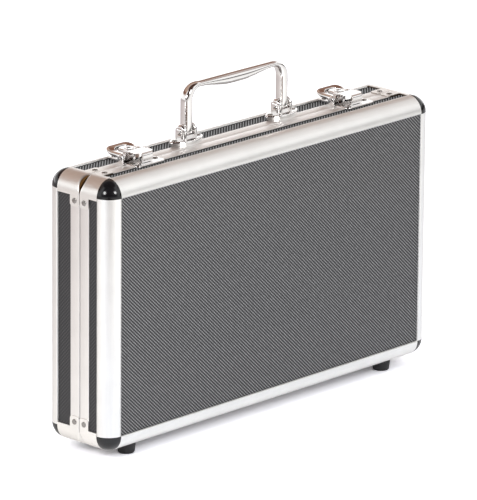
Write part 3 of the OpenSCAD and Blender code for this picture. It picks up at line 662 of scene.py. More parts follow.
def finish(name):
    """The named finish, made when it is first asked for."""
    if name not in finishes:
        group, sizes = (bpy.context.scene.flight_case_colours,
                        bpy.context.scene.flight_case_sizes)
        colour = {key: tuple(getattr(group, key)) for key in group.__annotations__}
        pitch, lean = sizes.rib_pitch, sizes.rib_lean
        level, upright = (0.02, 1, 1), (1, 1, 0.02)
        maker, *values = {
            "edge_level": (aluminium, "Satin aluminium, level rails", colour["rail"], 0.42,
                           level),
            "edge_upright": (aluminium, "Satin aluminium, upright rails", colour["rail"], 0.42,
                             upright),
            "seam_level": (aluminium, "Satin aluminium, level seam rails", colour["seam"], 0.4,
                           level),
            "seam_upright": (aluminium, "Satin aluminium, upright seam rails", colour["seam"],
                             0.32, upright),
            # The corner plates get painted shade and reflection in their upper grooves
            "plate": (aluminium, "Smooth aluminium", colour["plate"], 0.38, (1, 0.1, 1), 0.02,
                      True),
            "chrome": (chrome, "Chrome plating", colour["chrome"], 0.07),
            "rivet": (chrome, "Rivet steel", colour["rivet"], 0.2),
            "big_panel": (ribbed_plastic, "Ribbed plastic, big panels", colour["panel"],
                          colour["rib"], (1, 0, lean), (1, 0, -lean), pitch),
            # Shaded copy of the panel finish: grooves painted far darker on the top and bottom
            # strips
            "level_strip": (ribbed_plastic, "Ribbed plastic, top and bottom",
                            shade(colour["panel"], 0.3), colour["rib"], (1, -lean, 0),
                            (1, lean, 0), pitch, (Y_FRONT + EDGE, Y_LID - SEAM_W,
                                                  Y_BASE + SEAM_W, Y_BACK - EDGE), 0.04, 0.9),
            # Lit copy of the panel finish: grooves painted lighter, crests darker, on the end
            # strips
            "upright_strip": (ribbed_plastic, "Ribbed plastic, ends",
                              shade(colour["panel"], 1.3), shade(colour["strip_rib"], 0.9),
                              (0, lean, 1), (0, -lean, 1), pitch),
            "ball": (plastic, "Gloss black plastic", colour["ball"], 1.0, 1.5, (240, 2.0),
                     (0.11, 0.17), 0.06, 0.0002),
            "rubber": (plastic, "Rubber", colour["rubber"], 0.75, 1.3, (900, 4.0, 0.6),
                       (0.54, 0.66), 0.4, 0.0002),
            "lining": (plastic, "Lining foam", colour["lining"], 0.75, 1.3, (1600, 4.0, 0.6),
                       (0.84, 0.96), 0.4, 0.0006),
        }[name]
        finishes[name] = maker(*values)
    return finishes[name]


# Pieces


def lay_rail(outline, shell, side, kind, node):
    """Carries a profile along one side of a shell and makes a rail of it."""
    body = Body()
    body.loft([(outline, end) for end in side_reach(side)], edge_place(shell, side))
    finish_piece(body, f"{kind}_rail_{shell[0]}_{side}",
                 kind + ("_upright" if side in ENDS else "_level"), shell[0],
                 node, 30)


class FLIGHTCASE_OT_edge_rails(bpy.types.Operator):
    """Quarter-round rails with slots for the panels, along every outer edge"""

    bl_idname = "flight_case.edge_rails"
    bl_label = "Edge Rails"

    def execute(self, context):
        """Profile: quarter circle of the edge's radius, two panel slots, hollow inside."""
        r = context.scene.flight_case_sizes.rail_fillet * 1000
        far, near, end = PANEL_IN + SLOT_FIT, PANEL_OUT - SLOT_FIT, EDGE - PANEL_GRIP - SLOT_FIT
        t = np.radians(np.linspace(4, 86, 30))
        arc = EDGE - EDGE * np.stack([np.cos(t), np.sin(t)], -1)
        lip = fillet([(0, EDGE * 0.93, 0), (0, EDGE, r), (near, EDGE, 0)], 5)[1:-1]
        slot = np.array([(near, EDGE), (near, end), (far, end), (far, EDGE), (RAIL_IN, EDGE)])
        inner = np.concatenate([slot, [(RAIL_IN, RAIL_IN)], slot[::-1, ::-1]])
        outline = np.concatenate([arc, lip[::-1, ::-1], inner[::-1], lip])
        for shell in SHELLS:
            for side in SIDES:
                lay_rail(outline, shell, side, "edge", f"{shell[0]}_{side}_rail")
        return {"FINISHED"}


class FLIGHTCASE_OT_seam_rails(bpy.types.Operator):
    """Channel rails on both sides of the seam, the base's with a tongue for the lid"""

    bl_idname = "flight_case.seam_rails"
    bl_label = "Seam Rails"

    def execute(self, context):
        """Profile: outer strip, closing web, inner leg and, on the base, the tongue."""
        r = context.scene.flight_case_sizes.rail_fillet * 1000
        strip_in, leg = PANEL_OUT - SLOT_FIT, PANEL_IN + SLOT_FIT
        for shell in SHELLS:
            d = shell[3]
            corners = [(strip_in, d - SEAM_W, 0.1), (SEAM_OUT, d - SEAM_W, 0.25),
                       (SEAM_OUT, d, r)]
            if shell[0] == "base":
                corners += [(TONGUE_IN - WEB, d, 0.2), (TONGUE_IN - WEB, d + TONGUE_OUT, 0.4),
                            (TONGUE_IN, d + TONGUE_OUT, 0.4), (TONGUE_IN, d - WEB, 0.2),
                            (RAIL_IN, d - WEB, 0.2)]
            else:
                corners += [(RAIL_IN, d, 0.4)]
            corners += [(RAIL_IN, d - SEAM_INNER, 0.3), (leg, d - SEAM_INNER, 0.3),
                        (leg, d - WEB, 0.2), (strip_in, d - WEB, 0.2)]
            for side in SIDES:
                lay_rail(fillet(corners), shell, side, "seam", f"{shell[0]}_seam_{side}")
        return {"FINISHED"}


class FLIGHTCASE_OT_ball_corners(bpy.types.Operator):
    """Hollow eighths of a ball on the eight outer corners"""

    bl_idname = "flight_case.ball_corners"
    bl_label = "Ball Corners"

    def execute(self, context):
        """Ball: radius times the sine and cosine of two angles, over an eighth turn."""
        t, p = np.meshgrid(*[np.linspace(0, math.pi / 2, 25)] * 2, indexing="ij")
        unit = np.stack([np.sin(t) * np.cos(p), np.cos(t), np.sin(t) * np.sin(p)])
        for shell in SHELLS:
            body = Body()
            for place, _, _ in corner_places(shell):
                body.sheet(*(place(*(EDGE - r * unit)) for r in (EDGE, EDGE - BALL_WALL)))
            finish_piece(body, f"ball_corners_{shell[0]}", "ball", shell[0],
                         f"{shell[0]}_ball_corners", bevel=0.25)
        return {"FINISHED"}


class FLIGHTCASE_OT_corner_plates(bpy.types.Operator):
    """Pressed plates round the corners between ball and seam, with riveted tabs"""

    bl_idname = "flight_case.corner_plates"
    bl_label = "Corner Plates"

    def execute(self, context):
        """Grid of path length by width; the seam edge rolls inward on an arc.

        The path runs up the end face, round the bend and along the top face. The arc's radius
        grows from the tabs to the middle of the bend as a power of the sine of the way round
        it. The tabs' ends keep their length less the sagitta of a corner circle, so they are
        rounded.
        """
        lip = context.scene.flight_case_sizes.lip_round * 1000
        bend = EDGE * math.pi / 2
        inside = np.linspace(0, bend, 33)
        tab = np.array([1.0, 0.75, 0.5, 0.25, 0.1])[:, None]
        way = np.concatenate([np.zeros(5), inside / bend, np.ones(5)])[:, None]
        swell = np.sin(math.pi * way) ** 1.3
        r = TAB_EDGE_R + (lip - TAB_EDGE_R) * swell
        flat = np.array([0, 0.15, 0.6, 1.2, 2, 4.4, 6.8, 7.4, 8.0, SEAM_W - 0.5])
        flat = flat / flat[-1]
        turn = np.radians(np.linspace(0, 90, 9))[1:]

        def skin(seam, t, radius):
            """Distance from the big face and depth, for one side of a sheet of thickness t."""
            radius = np.maximum(radius, t + 0.02)
            start, stop = seam - SEAM_W, seam - radius
            v = np.concatenate([
                np.broadcast_to([EDGE, start - 0.02], (len(way), 2)),
                start + flat * (stop - start), stop + (radius - t) * np.sin(turn)], 1)
            rolled = radius - (radius - t) * np.cos(turn)
            flange = np.maximum(rolled[:, -1:],
                                np.minimum(CORNER_FLANGE, TAB_SHEET + 60 * swell))
            h = np.concatenate([t * np.ones((len(way), 2 + len(flat))), rolled, flange], 1)
            return np.concatenate([v, v[:, -1:]], 1), h

        def bent(s, h):
            """Distances inward from the end face and the top, for path length s and depth h."""
            a = np.clip(s, 0, bend) / EDGE
            return (EDGE - (EDGE - h) * np.cos(a) + np.maximum(s - bend, 0),
                    EDGE - (EDGE - h) * np.sin(a) - np.minimum(s, 0))

        for shell in SHELLS:
            v_out, h_out = skin(shell[3], 0.0, r)
            v_in, h_in = skin(shell[3], np.where(swell > 0, CORNER_SHEET, TAB_SHEET), r)
            h_in[:, :2] = CORNER_SHEET
            v_tab, start = v_out[0], shell[3] - SEAM_W
            sagitta = sum(
                TAB_CORNER_R - np.sqrt(TAB_CORNER_R ** 2 - (TAB_CORNER_R - near) ** 2)
                for near in np.clip([v_tab - start, shell[3] - v_tab], 0, TAB_CORNER_R))
            on_end, on_top = (np.where(v_tab < start, CORNER_LAP, length - sagitta)
                              for length in (TAB_END, TAB_TOP))
            s = np.concatenate([-tab * on_end, inside[:, None] + 0 * v_tab,
                                bend + tab[::-1] * on_top])
            body = Body()
            for place, _, _ in corner_places(shell):
                skins = []
                for v, h in ((v_out, h_out), (v_in, h_in)):
                    x, z = bent(s, h)
                    skins.append(place(x, v, z))
                body.sheet(*skins)
            finish_piece(body, f"corner_plates_{shell[0]}", "plate", shell[0],
                         f"{shell[0]}_corner_plates", bevel=0.15)
        return {"FINISHED"}


def ribbed_sheet(width, height, sizes, share=1.0):
    """Flat sheet whose outer face carries straight ribs that lean across it.

    The rib lines are u + lean * v = constant, one rib each pitch. Across a rib the height is
    the rise times a raised cosine. Each line runs from one edge of the sheet to the other:
    v is the range in which u stays inside. Returns u, v and the height above the sheet's
    face, for the outer and the inner grid.
    """
    pitch, rise, lean = sizes.rib_pitch * 1000, sizes.rib_height * 1000, sizes.rib_lean
    reach = width / 2 + abs(lean) * height / 2
    c = np.arange(-reach + 1e-3, reach, pitch / 6)[:, None]
    rib = share * rise * (0.5 + 0.5 * np.cos(2 * math.pi * c / pitch))
    v = np.clip(np.sort(np.concatenate([c + width / 2, c - width / 2], 1) / lean, 1),
                -height / 2, height / 2)
    u = c - lean * v
    return (u, v, rib + 0 * u), (u, v, PANEL_OUT - PANEL_IN + 0 * u)


class FLIGHTCASE_OT_panels(bpy.types.Operator):
    """Ribbed plastic panels on the big faces, and the strips between the rails"""

    bl_idname = "flight_case.panels"
    bl_label = "Panels"

    def execute(self, context):
        """Each panel is a ribbed sheet, pushed into the slots of the rails."""
        sizes = context.scene.flight_case_sizes
        grip = EDGE - PANEL_GRIP
        for shell in SHELLS:
            # The big panel: u along X, v along Z
            grids = ribbed_sheet(2 * (X_END - grip), Z_TOP - Z_LOW - 2 * grip, sizes)
            body = Body()
            body.sheet(*(np.stack([u, shell[1] + shell[2] * (PANEL_OUT - h), Z_MID + v], -1)
                         for u, v, h in grids))
            name = "front" if shell[0] == "lid" else "back"
            finish_piece(body, f"panel_{shell[0]}_{name}", "big_panel", shell[0],
                         f"{shell[0]}_{name}_panel", 60)
            # The strips: u along the side, v across it
            width = shell[3] - WEB - SLOT_FIT - grip
            for side in SIDES:
                start, stop = side_reach(side)
                on_end = side in ENDS
                grids = ribbed_sheet(stop - start, width, sizes, 0.3 if on_end else 1.0)
                place = edge_place(shell, side)
                body = Body()
                body.sheet(*(place(PANEL_OUT - h, grip + width / 2 + v, (start + stop) / 2 + u)
                             for u, v, h in grids))
                finish_piece(body, f"panel_{shell[0]}_{side}",
                             "upright_strip" if on_end else "level_strip", shell[0],
                             f"{shell[0]}_{side}_panel", 60)
        return {"FINISHED"}


def foot_places(shell_name):
    """Centres of a shell's two feet on the floor."""
    _, high, mid = span(shell_name + "_feet")
    return [(s * (high[0] - FOOT_R), mid[1], 0.0) for s in (-1, 1)]


def fitting_rivets(shell_name):
    """Origin, axis and grip of the rivets that hold the hardware, two in each fitting.

    A row says: the fitting's x, how far beside it the rivets sit, y, z, the way that their
    heads point, and how deep they reach.
    """
    hinge_x = span("hinge_leaves_base")[1][0] - 20.0
    leaf = Z_LOW + SEAM_OUT - 1.2
    if shell_name == "base":
        mount, latch = span("handle_mount_right")[2], span("latch_base_right")
        rows = [(hinge_x, 14.0, Y_BASE + 6.1, leaf, -1, 6.9),
                (mount[0], 12.0, mount[1], SEAT + MOUNT_T, 1, 7.1),
                (latch[2][0], LOCK_W / 2 + 0.4, latch[0][1] + 17.3, SEAT + PLATE_T, 1, 5.3)]
    else:
        _, high, mid = span("latch_strike_right")
        rows = [(hinge_x, 14.0, Y_LID - 6.1, leaf, -1, 6.9),
                (mid[0], high[0] - mid[0] - 3.4, Y_LID - 4.6, SEAT + PLATE_T, 1, 6.9)]
    return [((sx * x + s * apart, y, z), (0, 0, way), grip)
            for x, apart, y, z, way, grip in rows for sx in (-1, 1) for s in (-1, 1)]


class FLIGHTCASE_OT_rivets(bpy.types.Operator):
    """Domed rivets of the corner plates, mounts, latches, hinges and feet"""

    bl_idname = "flight_case.rivets"
    bl_label = "Rivets"

    def execute(self, context):
        """Each rivet is a dome on a thin rim, and a shank below it, turned round its axis."""
        dome = context.scene.flight_case_sizes.rivet_dome * 1000
        t = np.radians(np.linspace(0, 90, 9))
        head = np.stack([RIVET_R * np.sin(t), 0.12 + (dome - 0.12) * np.cos(t) ** 0.8], -1)
        back = Z_LOW + PANEL_IN
        for shell in SHELLS:
            v = shell[3] - SEAM_W / 2
            places = fitting_rivets(shell[0])
            for place, sx, sz in corner_places(shell):
                places += [(place(0.0, v, EDGE + RIVET_END), (sx, 0, 0), RAIL_IN),
                           (place(EDGE + RIVET_TOP, v, 0.0), (0, 0, sz), RAIL_IN)]
            body = Body()
            for origin, axis, grip in places:
                shank = [(RIVET_R, 0), (SHANK_R, 0), (SHANK_R, -grip), (0, -grip)]
                body.turned(np.concatenate([head, shank]), origin, axis, 24)
            for origin in foot_places(shell[0]):
                # Washer-headed rivet inside the foot's recess
                body.turned([(0, 1.8), (2.6, 1.8), (3.0, 2.2), (3.0, RECESS_TOP),
                             (1.6, RECESS_TOP), (1.6, back), (2.6, back), (2.4, back + 0.8),
                             (0, back + 0.8)], origin, (0, 0, 1), 24)
            finish_piece(body, f"rivets_{shell[0]}", "rivet", shell[0],
                         f"{shell[0]}_rivets", 50)
        return {"FINISHED"}


class FLIGHTCASE_OT_feet(bpy.types.Operator):
    """Rubber feet with a recess for their rivet"""

    bl_idname = "flight_case.feet"
    bl_label = "Feet"

    def execute(self, context):
        """Each foot is a tapered profile with rounded rims, turned round its axis."""
        roof = Z_LOW + PANEL_OUT
        profile = fillet([
            (RECESS_R, 0, 0.5), (FOOT_R - 1, 0, 0.9), (FOOT_R, Z_LOW, 0.5),
            (RECESS_R, Z_LOW, 0.1), (RECESS_R, roof, 0.1), (1.65, roof, 0.1),
            (1.65, RECESS_TOP, 0.1), (RECESS_R, RECESS_TOP, 0.3)])
        for shell in SHELLS:
            body = Body()
            for origin in foot_places(shell[0]):
                body.turned(np.concatenate([profile, profile[:1]]), origin, (0, 0, 1), 48)
            finish_piece(body, f"feet_{shell[0]}", "rubber", shell[0],
                         f"{shell[0]}_feet", 50)
        return {"FINISHED"}


class FLIGHTCASE_OT_handle(bpy.types.Operator):
    """Chromed swing handle with a swelling grip"""

    bl_idname = "flight_case.handle"
    bl_label = "Handle"

    def execute(self, context):
        """Rounded sections carried along the handle's centre line.

        A section is a superellipse: half size times the power 2 over squareness of cosine and
        sine. The line rises up a leg, turns a quarter circle and runs to the middle, and the
        other half mirrors it. The leg's foot closes on a half circle round the pin. Sizes
        change as half a cosine wave.
        """
        low, high, mid = span("handle")
        # Leg's width and depth, bar's width at its ends and middle, its depth, the bend
        leg_w, leg_d, thin, thick, deep, bend = 7.5, 8.0, 4.3, 8.0, 9.0, 11.0
        leg_x, pivot, top = high[0] - leg_w / 2, low[2] + leg_d / 2, high[2]
        leg_top = top - thin / 2 - bend
        foot = np.radians(np.linspace(90, 0, 13))
        t1, t2 = np.linspace(0, 1, 31), np.linspace(0, 1, 41)[1:]
        w1, w2 = ((1 - np.cos(math.pi * t)) / 2 for t in (t1, np.minimum(1, t2 * 1.15)))
        turn = math.pi / 2 * t1
        grip = (thin * (1 - w2) + thick * w2) / 2
        # Foot, leg, bend and bar: centre x and z, tilt, half width, half depth, squareness
        half = np.concatenate([np.stack(np.broadcast_arrays(*part), -1) for part in (
            (-leg_x, pivot - leg_d / 2 * np.sin(foot), 0, leg_w / 2,
             leg_d / 2 * np.maximum(np.cos(foot), 1e-4), 3),
            (-leg_x, np.linspace(pivot, leg_top, 8)[1:-1], 0, leg_w / 2, leg_d / 2, 3),
            (-leg_x + bend * (1 - np.cos(turn)), leg_top + bend * np.sin(turn), -turn,
             leg_w / 2 * (1 - w1) + thin / 2 * w1, leg_d / 2, 3 - 0.8 * w1),
            ((leg_x - bend) * (t2 - 1), top - grip, -math.pi / 2, grip,
             (leg_d * (1 - w2) + deep * w2) / 2, 2.2))])
        mirrored = half[-2::-1] * (-1, 1, -1, 1, 1, 1) - (0, 0, math.pi, 0, 0, 0)
        x, z, tilt, half_a, half_b, power = np.concatenate([half, mirrored]).T[..., None]
        c, s = circle(56).T
        p = half_a * np.sign(c) * np.abs(c) ** (2 / power)
        q = half_b * np.sign(s) * np.abs(s) ** (2 / power)
        body = Body()
        body.loft(np.stack([x + p * np.cos(tilt), mid[1] + q, z + p * np.sin(tilt)], -1))
        finish_piece(body, "handle_grip", "chrome", "handle", "handle", 50)
        return {"FINISHED"}


class FLIGHTCASE_OT_handle_mounts(bpy.types.Operator):
    """Boat-shaped mounts with two rounded ears for the handle's pins"""

    bl_idname = "flight_case.handle_mounts"
    bl_label = "Handle Mounts"

    def execute(self, context):
        """Plan: two arcs that meet at the ends. Ears: round tops, bored for the pin."""
        pin_high, (_, _, pin) = span("handle_pins")[1:]
        for side in ENDS:
            low, high, (x, y, _) = span("handle_mount_" + side)
            length, width = high[0] - low[0], high[1] - low[1]
            ear_r = high[2] - pin
            arc = (length ** 2 + width ** 2) / (4 * width)
            half = math.asin(length / 2 / arc)
            t = np.linspace(-half, half, 33)[1:-1]
            side_arc = np.stack([arc * np.sin(t), width / 2 - arc + arc * np.cos(t)], -1)
            outline = np.concatenate([side_arc[::-1], side_arc * (1, -1)])
            body = Body()
            body.slab(outline, soft_edges(SEAT, SEAT + MOUNT_T, 0.0, 1.2), plan_view(x, y))
            body.slab(inset(outline, 0.6), UNDER_SEAT, plan_view(x, y))
            ear = rectangle(-ear_r, SEAT + 0.7 - pin, ear_r, ear_r, 2.3, ear_r * 0.97, 12)
            body.ears(ear, EAR_GAP, EAR_GAP + EAR_T, (0.6, 1.9, 6), HANDLE_PIN_R + PIN_FIT,
                      side_view(x, y, pin))
            finish_piece(body, "handle_mount_plate_" + side, "chrome", "base",
                         "handle_mount_" + side, even=True)
        # Pins, turned over both ears with domed heads
        reach, head_r = pin_high[0] - x, 2.7
        t = np.radians(np.linspace(0, 90, 7))
        dome = np.stack([head_r * np.sin(t), reach - 0.4 + 0.9 * np.cos(t)], -1)
        shaft = [(head_r, reach - 0.5), (HANDLE_PIN_R, reach - 0.5),
                 (HANDLE_PIN_R, 0.5 - reach), (head_r, 0.5 - reach)]
        profile = np.concatenate([dome, shaft, dome[::-1] * (1, -1)])
        profile[[0, -1], 0] = 0
        body = Body()
        for s in (-1, 1):
            body.turned(profile, (s * x, y, pin), (1, 0, 0), 32)
        finish_piece(body, "handle_pin_heads", "chrome", "base", "handle_pins", 50)
        return {"FINISHED"}


def lever_loop(half, start, back, radius):
    """Plan of a lever's loop: leg, quarter circle, finger end, and the same mirrored."""
    t = np.radians(np.linspace(180, 90, 13))[1:]
    x = np.concatenate([np.full(14, -half), -half + radius + radius * np.cos(t)])
    y = np.concatenate([np.linspace(start, back - radius, 14),
                        back - radius + radius * np.sin(t)])
    return np.stack([np.concatenate([x, -x[::-1]]), np.concatenate([y, y[::-1]])], -1)


class FLIGHTCASE_OT_latch_levers(bpy.types.Operator):
    """Loop-shaped levers with turned-up finger ends"""

    bl_idname = "flight_case.latch_levers"
    bl_label = "Latch Levers"

    def execute(self, context):
        """A rounded section carried between two plans, the loop's inside and outside.

        The bar's top is level along the legs and rises towards the finger end as a power of
        the way behind the bend. Its underside dips at the hook pin as a cubic step. Each leg
        ends in an eye bored for the lever pin.
        """
        _, pin_y, pin_z = span("lever_pins")[2]
        section = fillet([(0, 0, 0.4), (LEVER_LEG, 0, 1.7), (LEVER_LEG, LEVER_T, 1.6),
                          (0, LEVER_T, 0.5)], 5)
        q, h = (section / (LEVER_LEG, LEVER_T)).T[:, None]
        for side in ENDS:
            _, high, (x, _, _) = span("latch_lever_" + side)
            half, back = high[0] - x, high[1] - pin_y
            top = high[2] - pin_z - LEVER_RISE
            outer = lever_loop(half, LEVER_START, back, 5.0)
            inner = lever_loop(half - LEVER_LEG, LEVER_START, back - LEVER_END, 6.3)
            plan = inner[:, None] * (1 - q[..., None]) + outer[:, None] * q[..., None]
            way = np.clip((plan[..., 1] - LEVER_BEND) / (back - LEVER_BEND), 0, 1)
            rise = LEVER_RISE * way ** 1.74
            step = np.clip((plan[..., 1] - 3.8) / 2.6, 0, 1)
            dip = 1.75 * (1 - step * step * (3 - 2 * step))
            ground = top - LEVER_T + rise * 1.2 - dip
            body = Body()
            body.loft(np.stack([x + plan[..., 0], pin_y + plan[..., 1],
                                pin_z + ground + h * (top + rise - ground)], -1))
            eye = fillet([(2.7, -2.1, 1.0), (2.7, top, 1.0), (0.1, top, 1.6),
                          (-2.1, 1.3, 1.5), (-2.1, -2.1, 2.0)], 8)
            body.ears(eye, half - LEVER_LEG, half, (0.4, 0.9), LATCH_PIN_R + PIN_FIT,
                      side_view(x, pin_y, pin_z))
            finish_piece(body, "lever_loop_" + side, "chrome", "latch_lever_" + side,
                         "latch_lever_" + side, even=True)
            dress_node("hook_pins_" + side, "chrome")
        dress_node("lever_pins", "chrome", 0.3)
        return {"FINISHED"}


class FLIGHTCASE_OT_latch_hooks(bpy.types.Operator):
    """Pressed hooks that reach from the levers over the strikes"""

    bl_idname = "flight_case.latch_hooks"
    bl_label = "Latch Hooks"

    def execute(self, context):
        """Sheet carried along the hook's side view, as wide as its plan at each place.

        The line runs level from the neck to the bend, round a quarter circle and down the
        lug. The sheet is thicker along its edges where the corners are cut, as on a pressing
        whose rim is turned down.
        """
        _, pin_y, pin_z = span("hook_pins_left")[2]
        neck, shoulder, bend = pin_y - 6.9, pin_y - 6.9 - 0.15, 1.9
        t = np.radians(np.linspace(0, 90, 9))
        sin, cos = (np.concatenate([np.full(7, a), f(t), np.full(2, b)])
                    for f, a, b in ((np.sin, 0, 1), (np.cos, 1, 0)))
        rim = np.concatenate([[0, 0, 0, 0.1, 1.1, 1.2, 1.2, 0.8, 0.4], np.zeros(9)])[:, None]
        across = np.array([-1, -0.86, -0.6, -0.3, 0, 0.3, 0.6, 0.86, 1])
        thick = np.concatenate([np.full(7, HOOK_T), np.linspace(HOOK_T, LUG_T, 9),
                                np.full(2, LUG_T)])[:, None]
        deep = thick + rim * (np.abs(across) > 0.8)
        for side in ENDS:
            low, high, (x, _, _) = span("latch_hook_" + side)
            top, front, half = high[2], low[1], high[0] - x
            cut = front + HOOK_CUT
            y = front + bend - bend * sin
            z = top - bend + bend * cos
            y[:7] = pin_y - 3.4, neck, shoulder, cut + 2.4, cut + 0.4, cut, cut - 1.2
            z[-2:] = low[2] + 2.0, low[2]
            width = np.interp(y, [front + bend - 0.4, cut, shoulder, neck, pin_y],
                              [half - HOOK_CUT, half, half, CHEEK_OUT, CHEEK_OUT])
            outer = np.stack(np.broadcast_arrays(x + width[:, None] * across, y[:, None],
                                                 z[:, None]), -1)
            body = Body()
            body.sheet(outer, outer + np.stack([0 * deep, sin[:, None] * deep,
                                                -cos[:, None] * deep], -1))
            roof = top - pin_z
            eye = fillet([(-HOOK_EYE_R, -HOOK_EYE_R, 1.7), (HOOK_EYE_R, -HOOK_EYE_R, 1.7),
                          (HOOK_EYE_R, 1.4, 0.8), (0.4, roof, 0.8), (-HOOK_EYE_R, roof, 0.3)],
                         6)
            place = side_view(x, pin_y, pin_z)
            body.ears(eye, CHEEK_OUT - CHEEK_T, CHEEK_OUT, (0.15, 0.15), HOOK_PIN_R + PIN_FIT,
                      place)
            for s in (-1, 1):
                body.slab(rectangle(-3.8, roof - HOOK_T, -1.6, roof, 0.1, 0.1, 2),
                          [(0.02, s * (CHEEK_OUT - CHEEK_T)), (0.02, s * CHEEK_OUT)], place)
            finish_piece(body, "hook_plate_" + side, "chrome", "latch_hook_" + side,
                         "latch_hook_" + side, bevel=0.3)
        return {"FINISHED"}


class FLIGHTCASE_OT_latch_plates(bpy.types.Operator):
    """Latch plates with lock housings, key plugs and the strikes on the lid"""

    bl_idname = "flight_case.latch_plates"
    bl_label = "Latch Plates"

    def execute(self, context):
        for side in ENDS:
            self.base_plate(side)
            self.plug(side)
            self.strike(side)
        return {"FINISHED"}

    def base_plate(self, side):
        """Plate with rounded corners, two bored ears and a housing bored for the plug."""
        low, high, (x, _, _) = span("latch_base_" + side)
        plug_low = span("lock_plug_" + side)[0]
        _, pin_y, pin_z = span("lever_pins")[2]
        half, plug_y, floor, roof = high[0] - x, plug_low[1] + PLUG_R, SEAT + PLATE_T, high[2]
        narrow, step = LATCH_PLATE_HALF, pin_y + EYE_R
        body = Body()
        plan = fillet([(-half, low[1], 0.8), (half, low[1], 0.8), (half, step, 1.6),
                       (narrow, step, 0.6), (narrow, high[1], 2.0), (-narrow, high[1], 2.0),
                       (-narrow, step, 0.6), (-half, step, 1.6)], 6)
        body.slab(plan, soft_edges(SEAT, floor, 0.0, 0.4), plan_view(x))
        body.slab(rectangle(-narrow + 0.5, Y_BASE + SEAM_W + 0.4, narrow - 0.5, high[1] - 0.5,
                            0.1, 1.8, 6), UNDER_SEAT, plan_view(x))
        ear = rectangle(-EYE_R, floor - 0.8 - pin_z, EYE_R, EYE_R, 0.6, EYE_R * 0.97, 10)
        body.ears(ear, half - EAR_SHEET, half, (0.2, 0.5), LATCH_PIN_R + 0.02,
                  side_view(x, pin_y, pin_z))
        wide, front = LOCK_W / 2, pin_y + 1.85 - plug_y
        cavity, bore = plug_low[2] + 1.8, PLUG_R + PIN_FIT
        body.bored(rectangle(-wide, front, wide, front + 12.0, 1.0, 6.1, 16),
                   [(0, floor - 0.2)] + soft_edges(floor, roof, 0.0, 1.0)[5:],
                   [(bore + 0.45, roof), (bore, roof - 0.45), (bore, cavity),
                    (5.3, cavity), (5.3, floor - 0.2)], plan_view(x, plug_y))
        finish_piece(body, "latch_plate_" + side, "chrome", "base",
                     "latch_base_" + side, even=True)

    def plug(self, side):
        """Round plug with a keyway: a slot across a round hole, at each angle the wider."""
        low, high, (x, _, _) = span("lock_plug_" + side)
        y, foot, top = low[1] + PLUG_R, low[2], high[2]
        t = np.linspace(-math.pi, math.pi, 97)[1:]
        ring = np.stack([np.cos(t), np.sin(t)], -1)
        slot = np.min([0.55, 2.1] / np.maximum(np.abs(ring[:, ::-1]), 1e-6), 1)
        keyway = ring * np.maximum(slot, 1.2)[:, None]
        body = Body()
        body.loft([(ring * 0.02, foot), (ring * (PLUG_R - 0.1), foot),
                   (ring * PLUG_R, foot + 0.1), (ring * PLUG_R, top - 0.3),
                   (ring * (PLUG_R - 0.3), top), (keyway * 1.12, top), (keyway, top - 0.12),
                   (keyway, top - 3.5), (ring * 0.02, top - 3.5)], plan_view(x, y))
        body.slab(rectangle(-1.6, 0, 1.6, high[1] - y, 0.1, 0.6, 3),
                  soft_edges(foot, foot + 1.4, 0.1, 0.1), plan_view(x, y))
        finish_piece(body, "key_plug_" + side, "chrome", "lock_plug_" + side,
                     "lock_plug_" + side, even=True)

    def strike(self, side):
        """Plate with round corners, a wall, and a lip rolled round a wire."""
        low, high, (x, _, _) = span("latch_strike_" + side)
        half = high[0] - x
        body = Body()
        body.slab(rectangle(-half, low[1], half, high[1], 4.0, 0.8, 8),
                  soft_edges(SEAT, SEAT + PLATE_T, 0.0, 0.5), plan_view(x))
        body.slab(rectangle(-half + 0.5, low[1] + 0.5, half - 0.5, Y_LID - SEAM_W - 0.4,
                            3.6, 0.1, 8), UNDER_SEAT, plan_view(x))
        y, z = span("latch_hook_" + side)[0][1] + LUG_T + 0.3 + LIP_R, high[2] - LIP_R
        place, foot = side_view(x, y, z), SEAT + 0.9 - z
        wall = fillet([(-LIP_R, foot, 0), (-LIP_R + 1.2, foot, 0),
                       (-LIP_R + 1.2, -1.05, 0.1), (-LIP_R, 0, 0.1)], 2)
        body.slab(wall, [(0, 0.05 - LIP_HALF), (0, LIP_HALF - 0.05)], place)
        body.bored(LIP_R * circle(28), soft_edges(-LIP_HALF, LIP_HALF, 0.1, 0.1),
                   [(0.8, LIP_HALF), (0.8, -LIP_HALF)], place)
        wire = np.array([(0, 0.3), (0.35, 0.25), (0.55, 0)]) + (0, LIP_HALF)
        body.turned(np.concatenate([wire * (1, -1), wire[::-1]]), (x, y, z), (1, 0, 0), 20)
        finish_piece(body, "strike_plate_" + side, "chrome", "lid",
                     "latch_strike_" + side, even=True)


class FLIGHTCASE_OT_hinges(bpy.types.Operator):
    """Hinges under the case"""

    bl_idname = "flight_case.hinges"
    bl_label = "Hinges"

    def execute(self, context):
        edge = context.scene.flight_case_sizes.hardware_edge * 1000
        for node in ("hinge_leaves_base", "hinge_leaves_lid", "hinge_pins"):
            dress_node(node, "chrome", edge)
        return {"FINISHED"}


class FLIGHTCASE_OT_linings(bpy.types.Operator):
    """Foam linings inside both halves"""

    bl_idname = "flight_case.linings"
    bl_label = "Linings"

    def execute(self, context):
        for shell in SHELLS:
            dress_node(shell[0] + "_liner", "lining", 0.5)
        return {"FINISHED"}


# Stage: floor, studio light and camera

CAMERA_BACK = (-0.6982638, -0.65548405, 0.28769485)
CAMERA_RIGHT = (0.68618866, -0.7273775, 0.00819045)
CAMERA_UP = (0.20389405, 0.20313204, 0.95768711)
CAMERA_PLACE = (-3.0120, -2.8238, 1.3581)
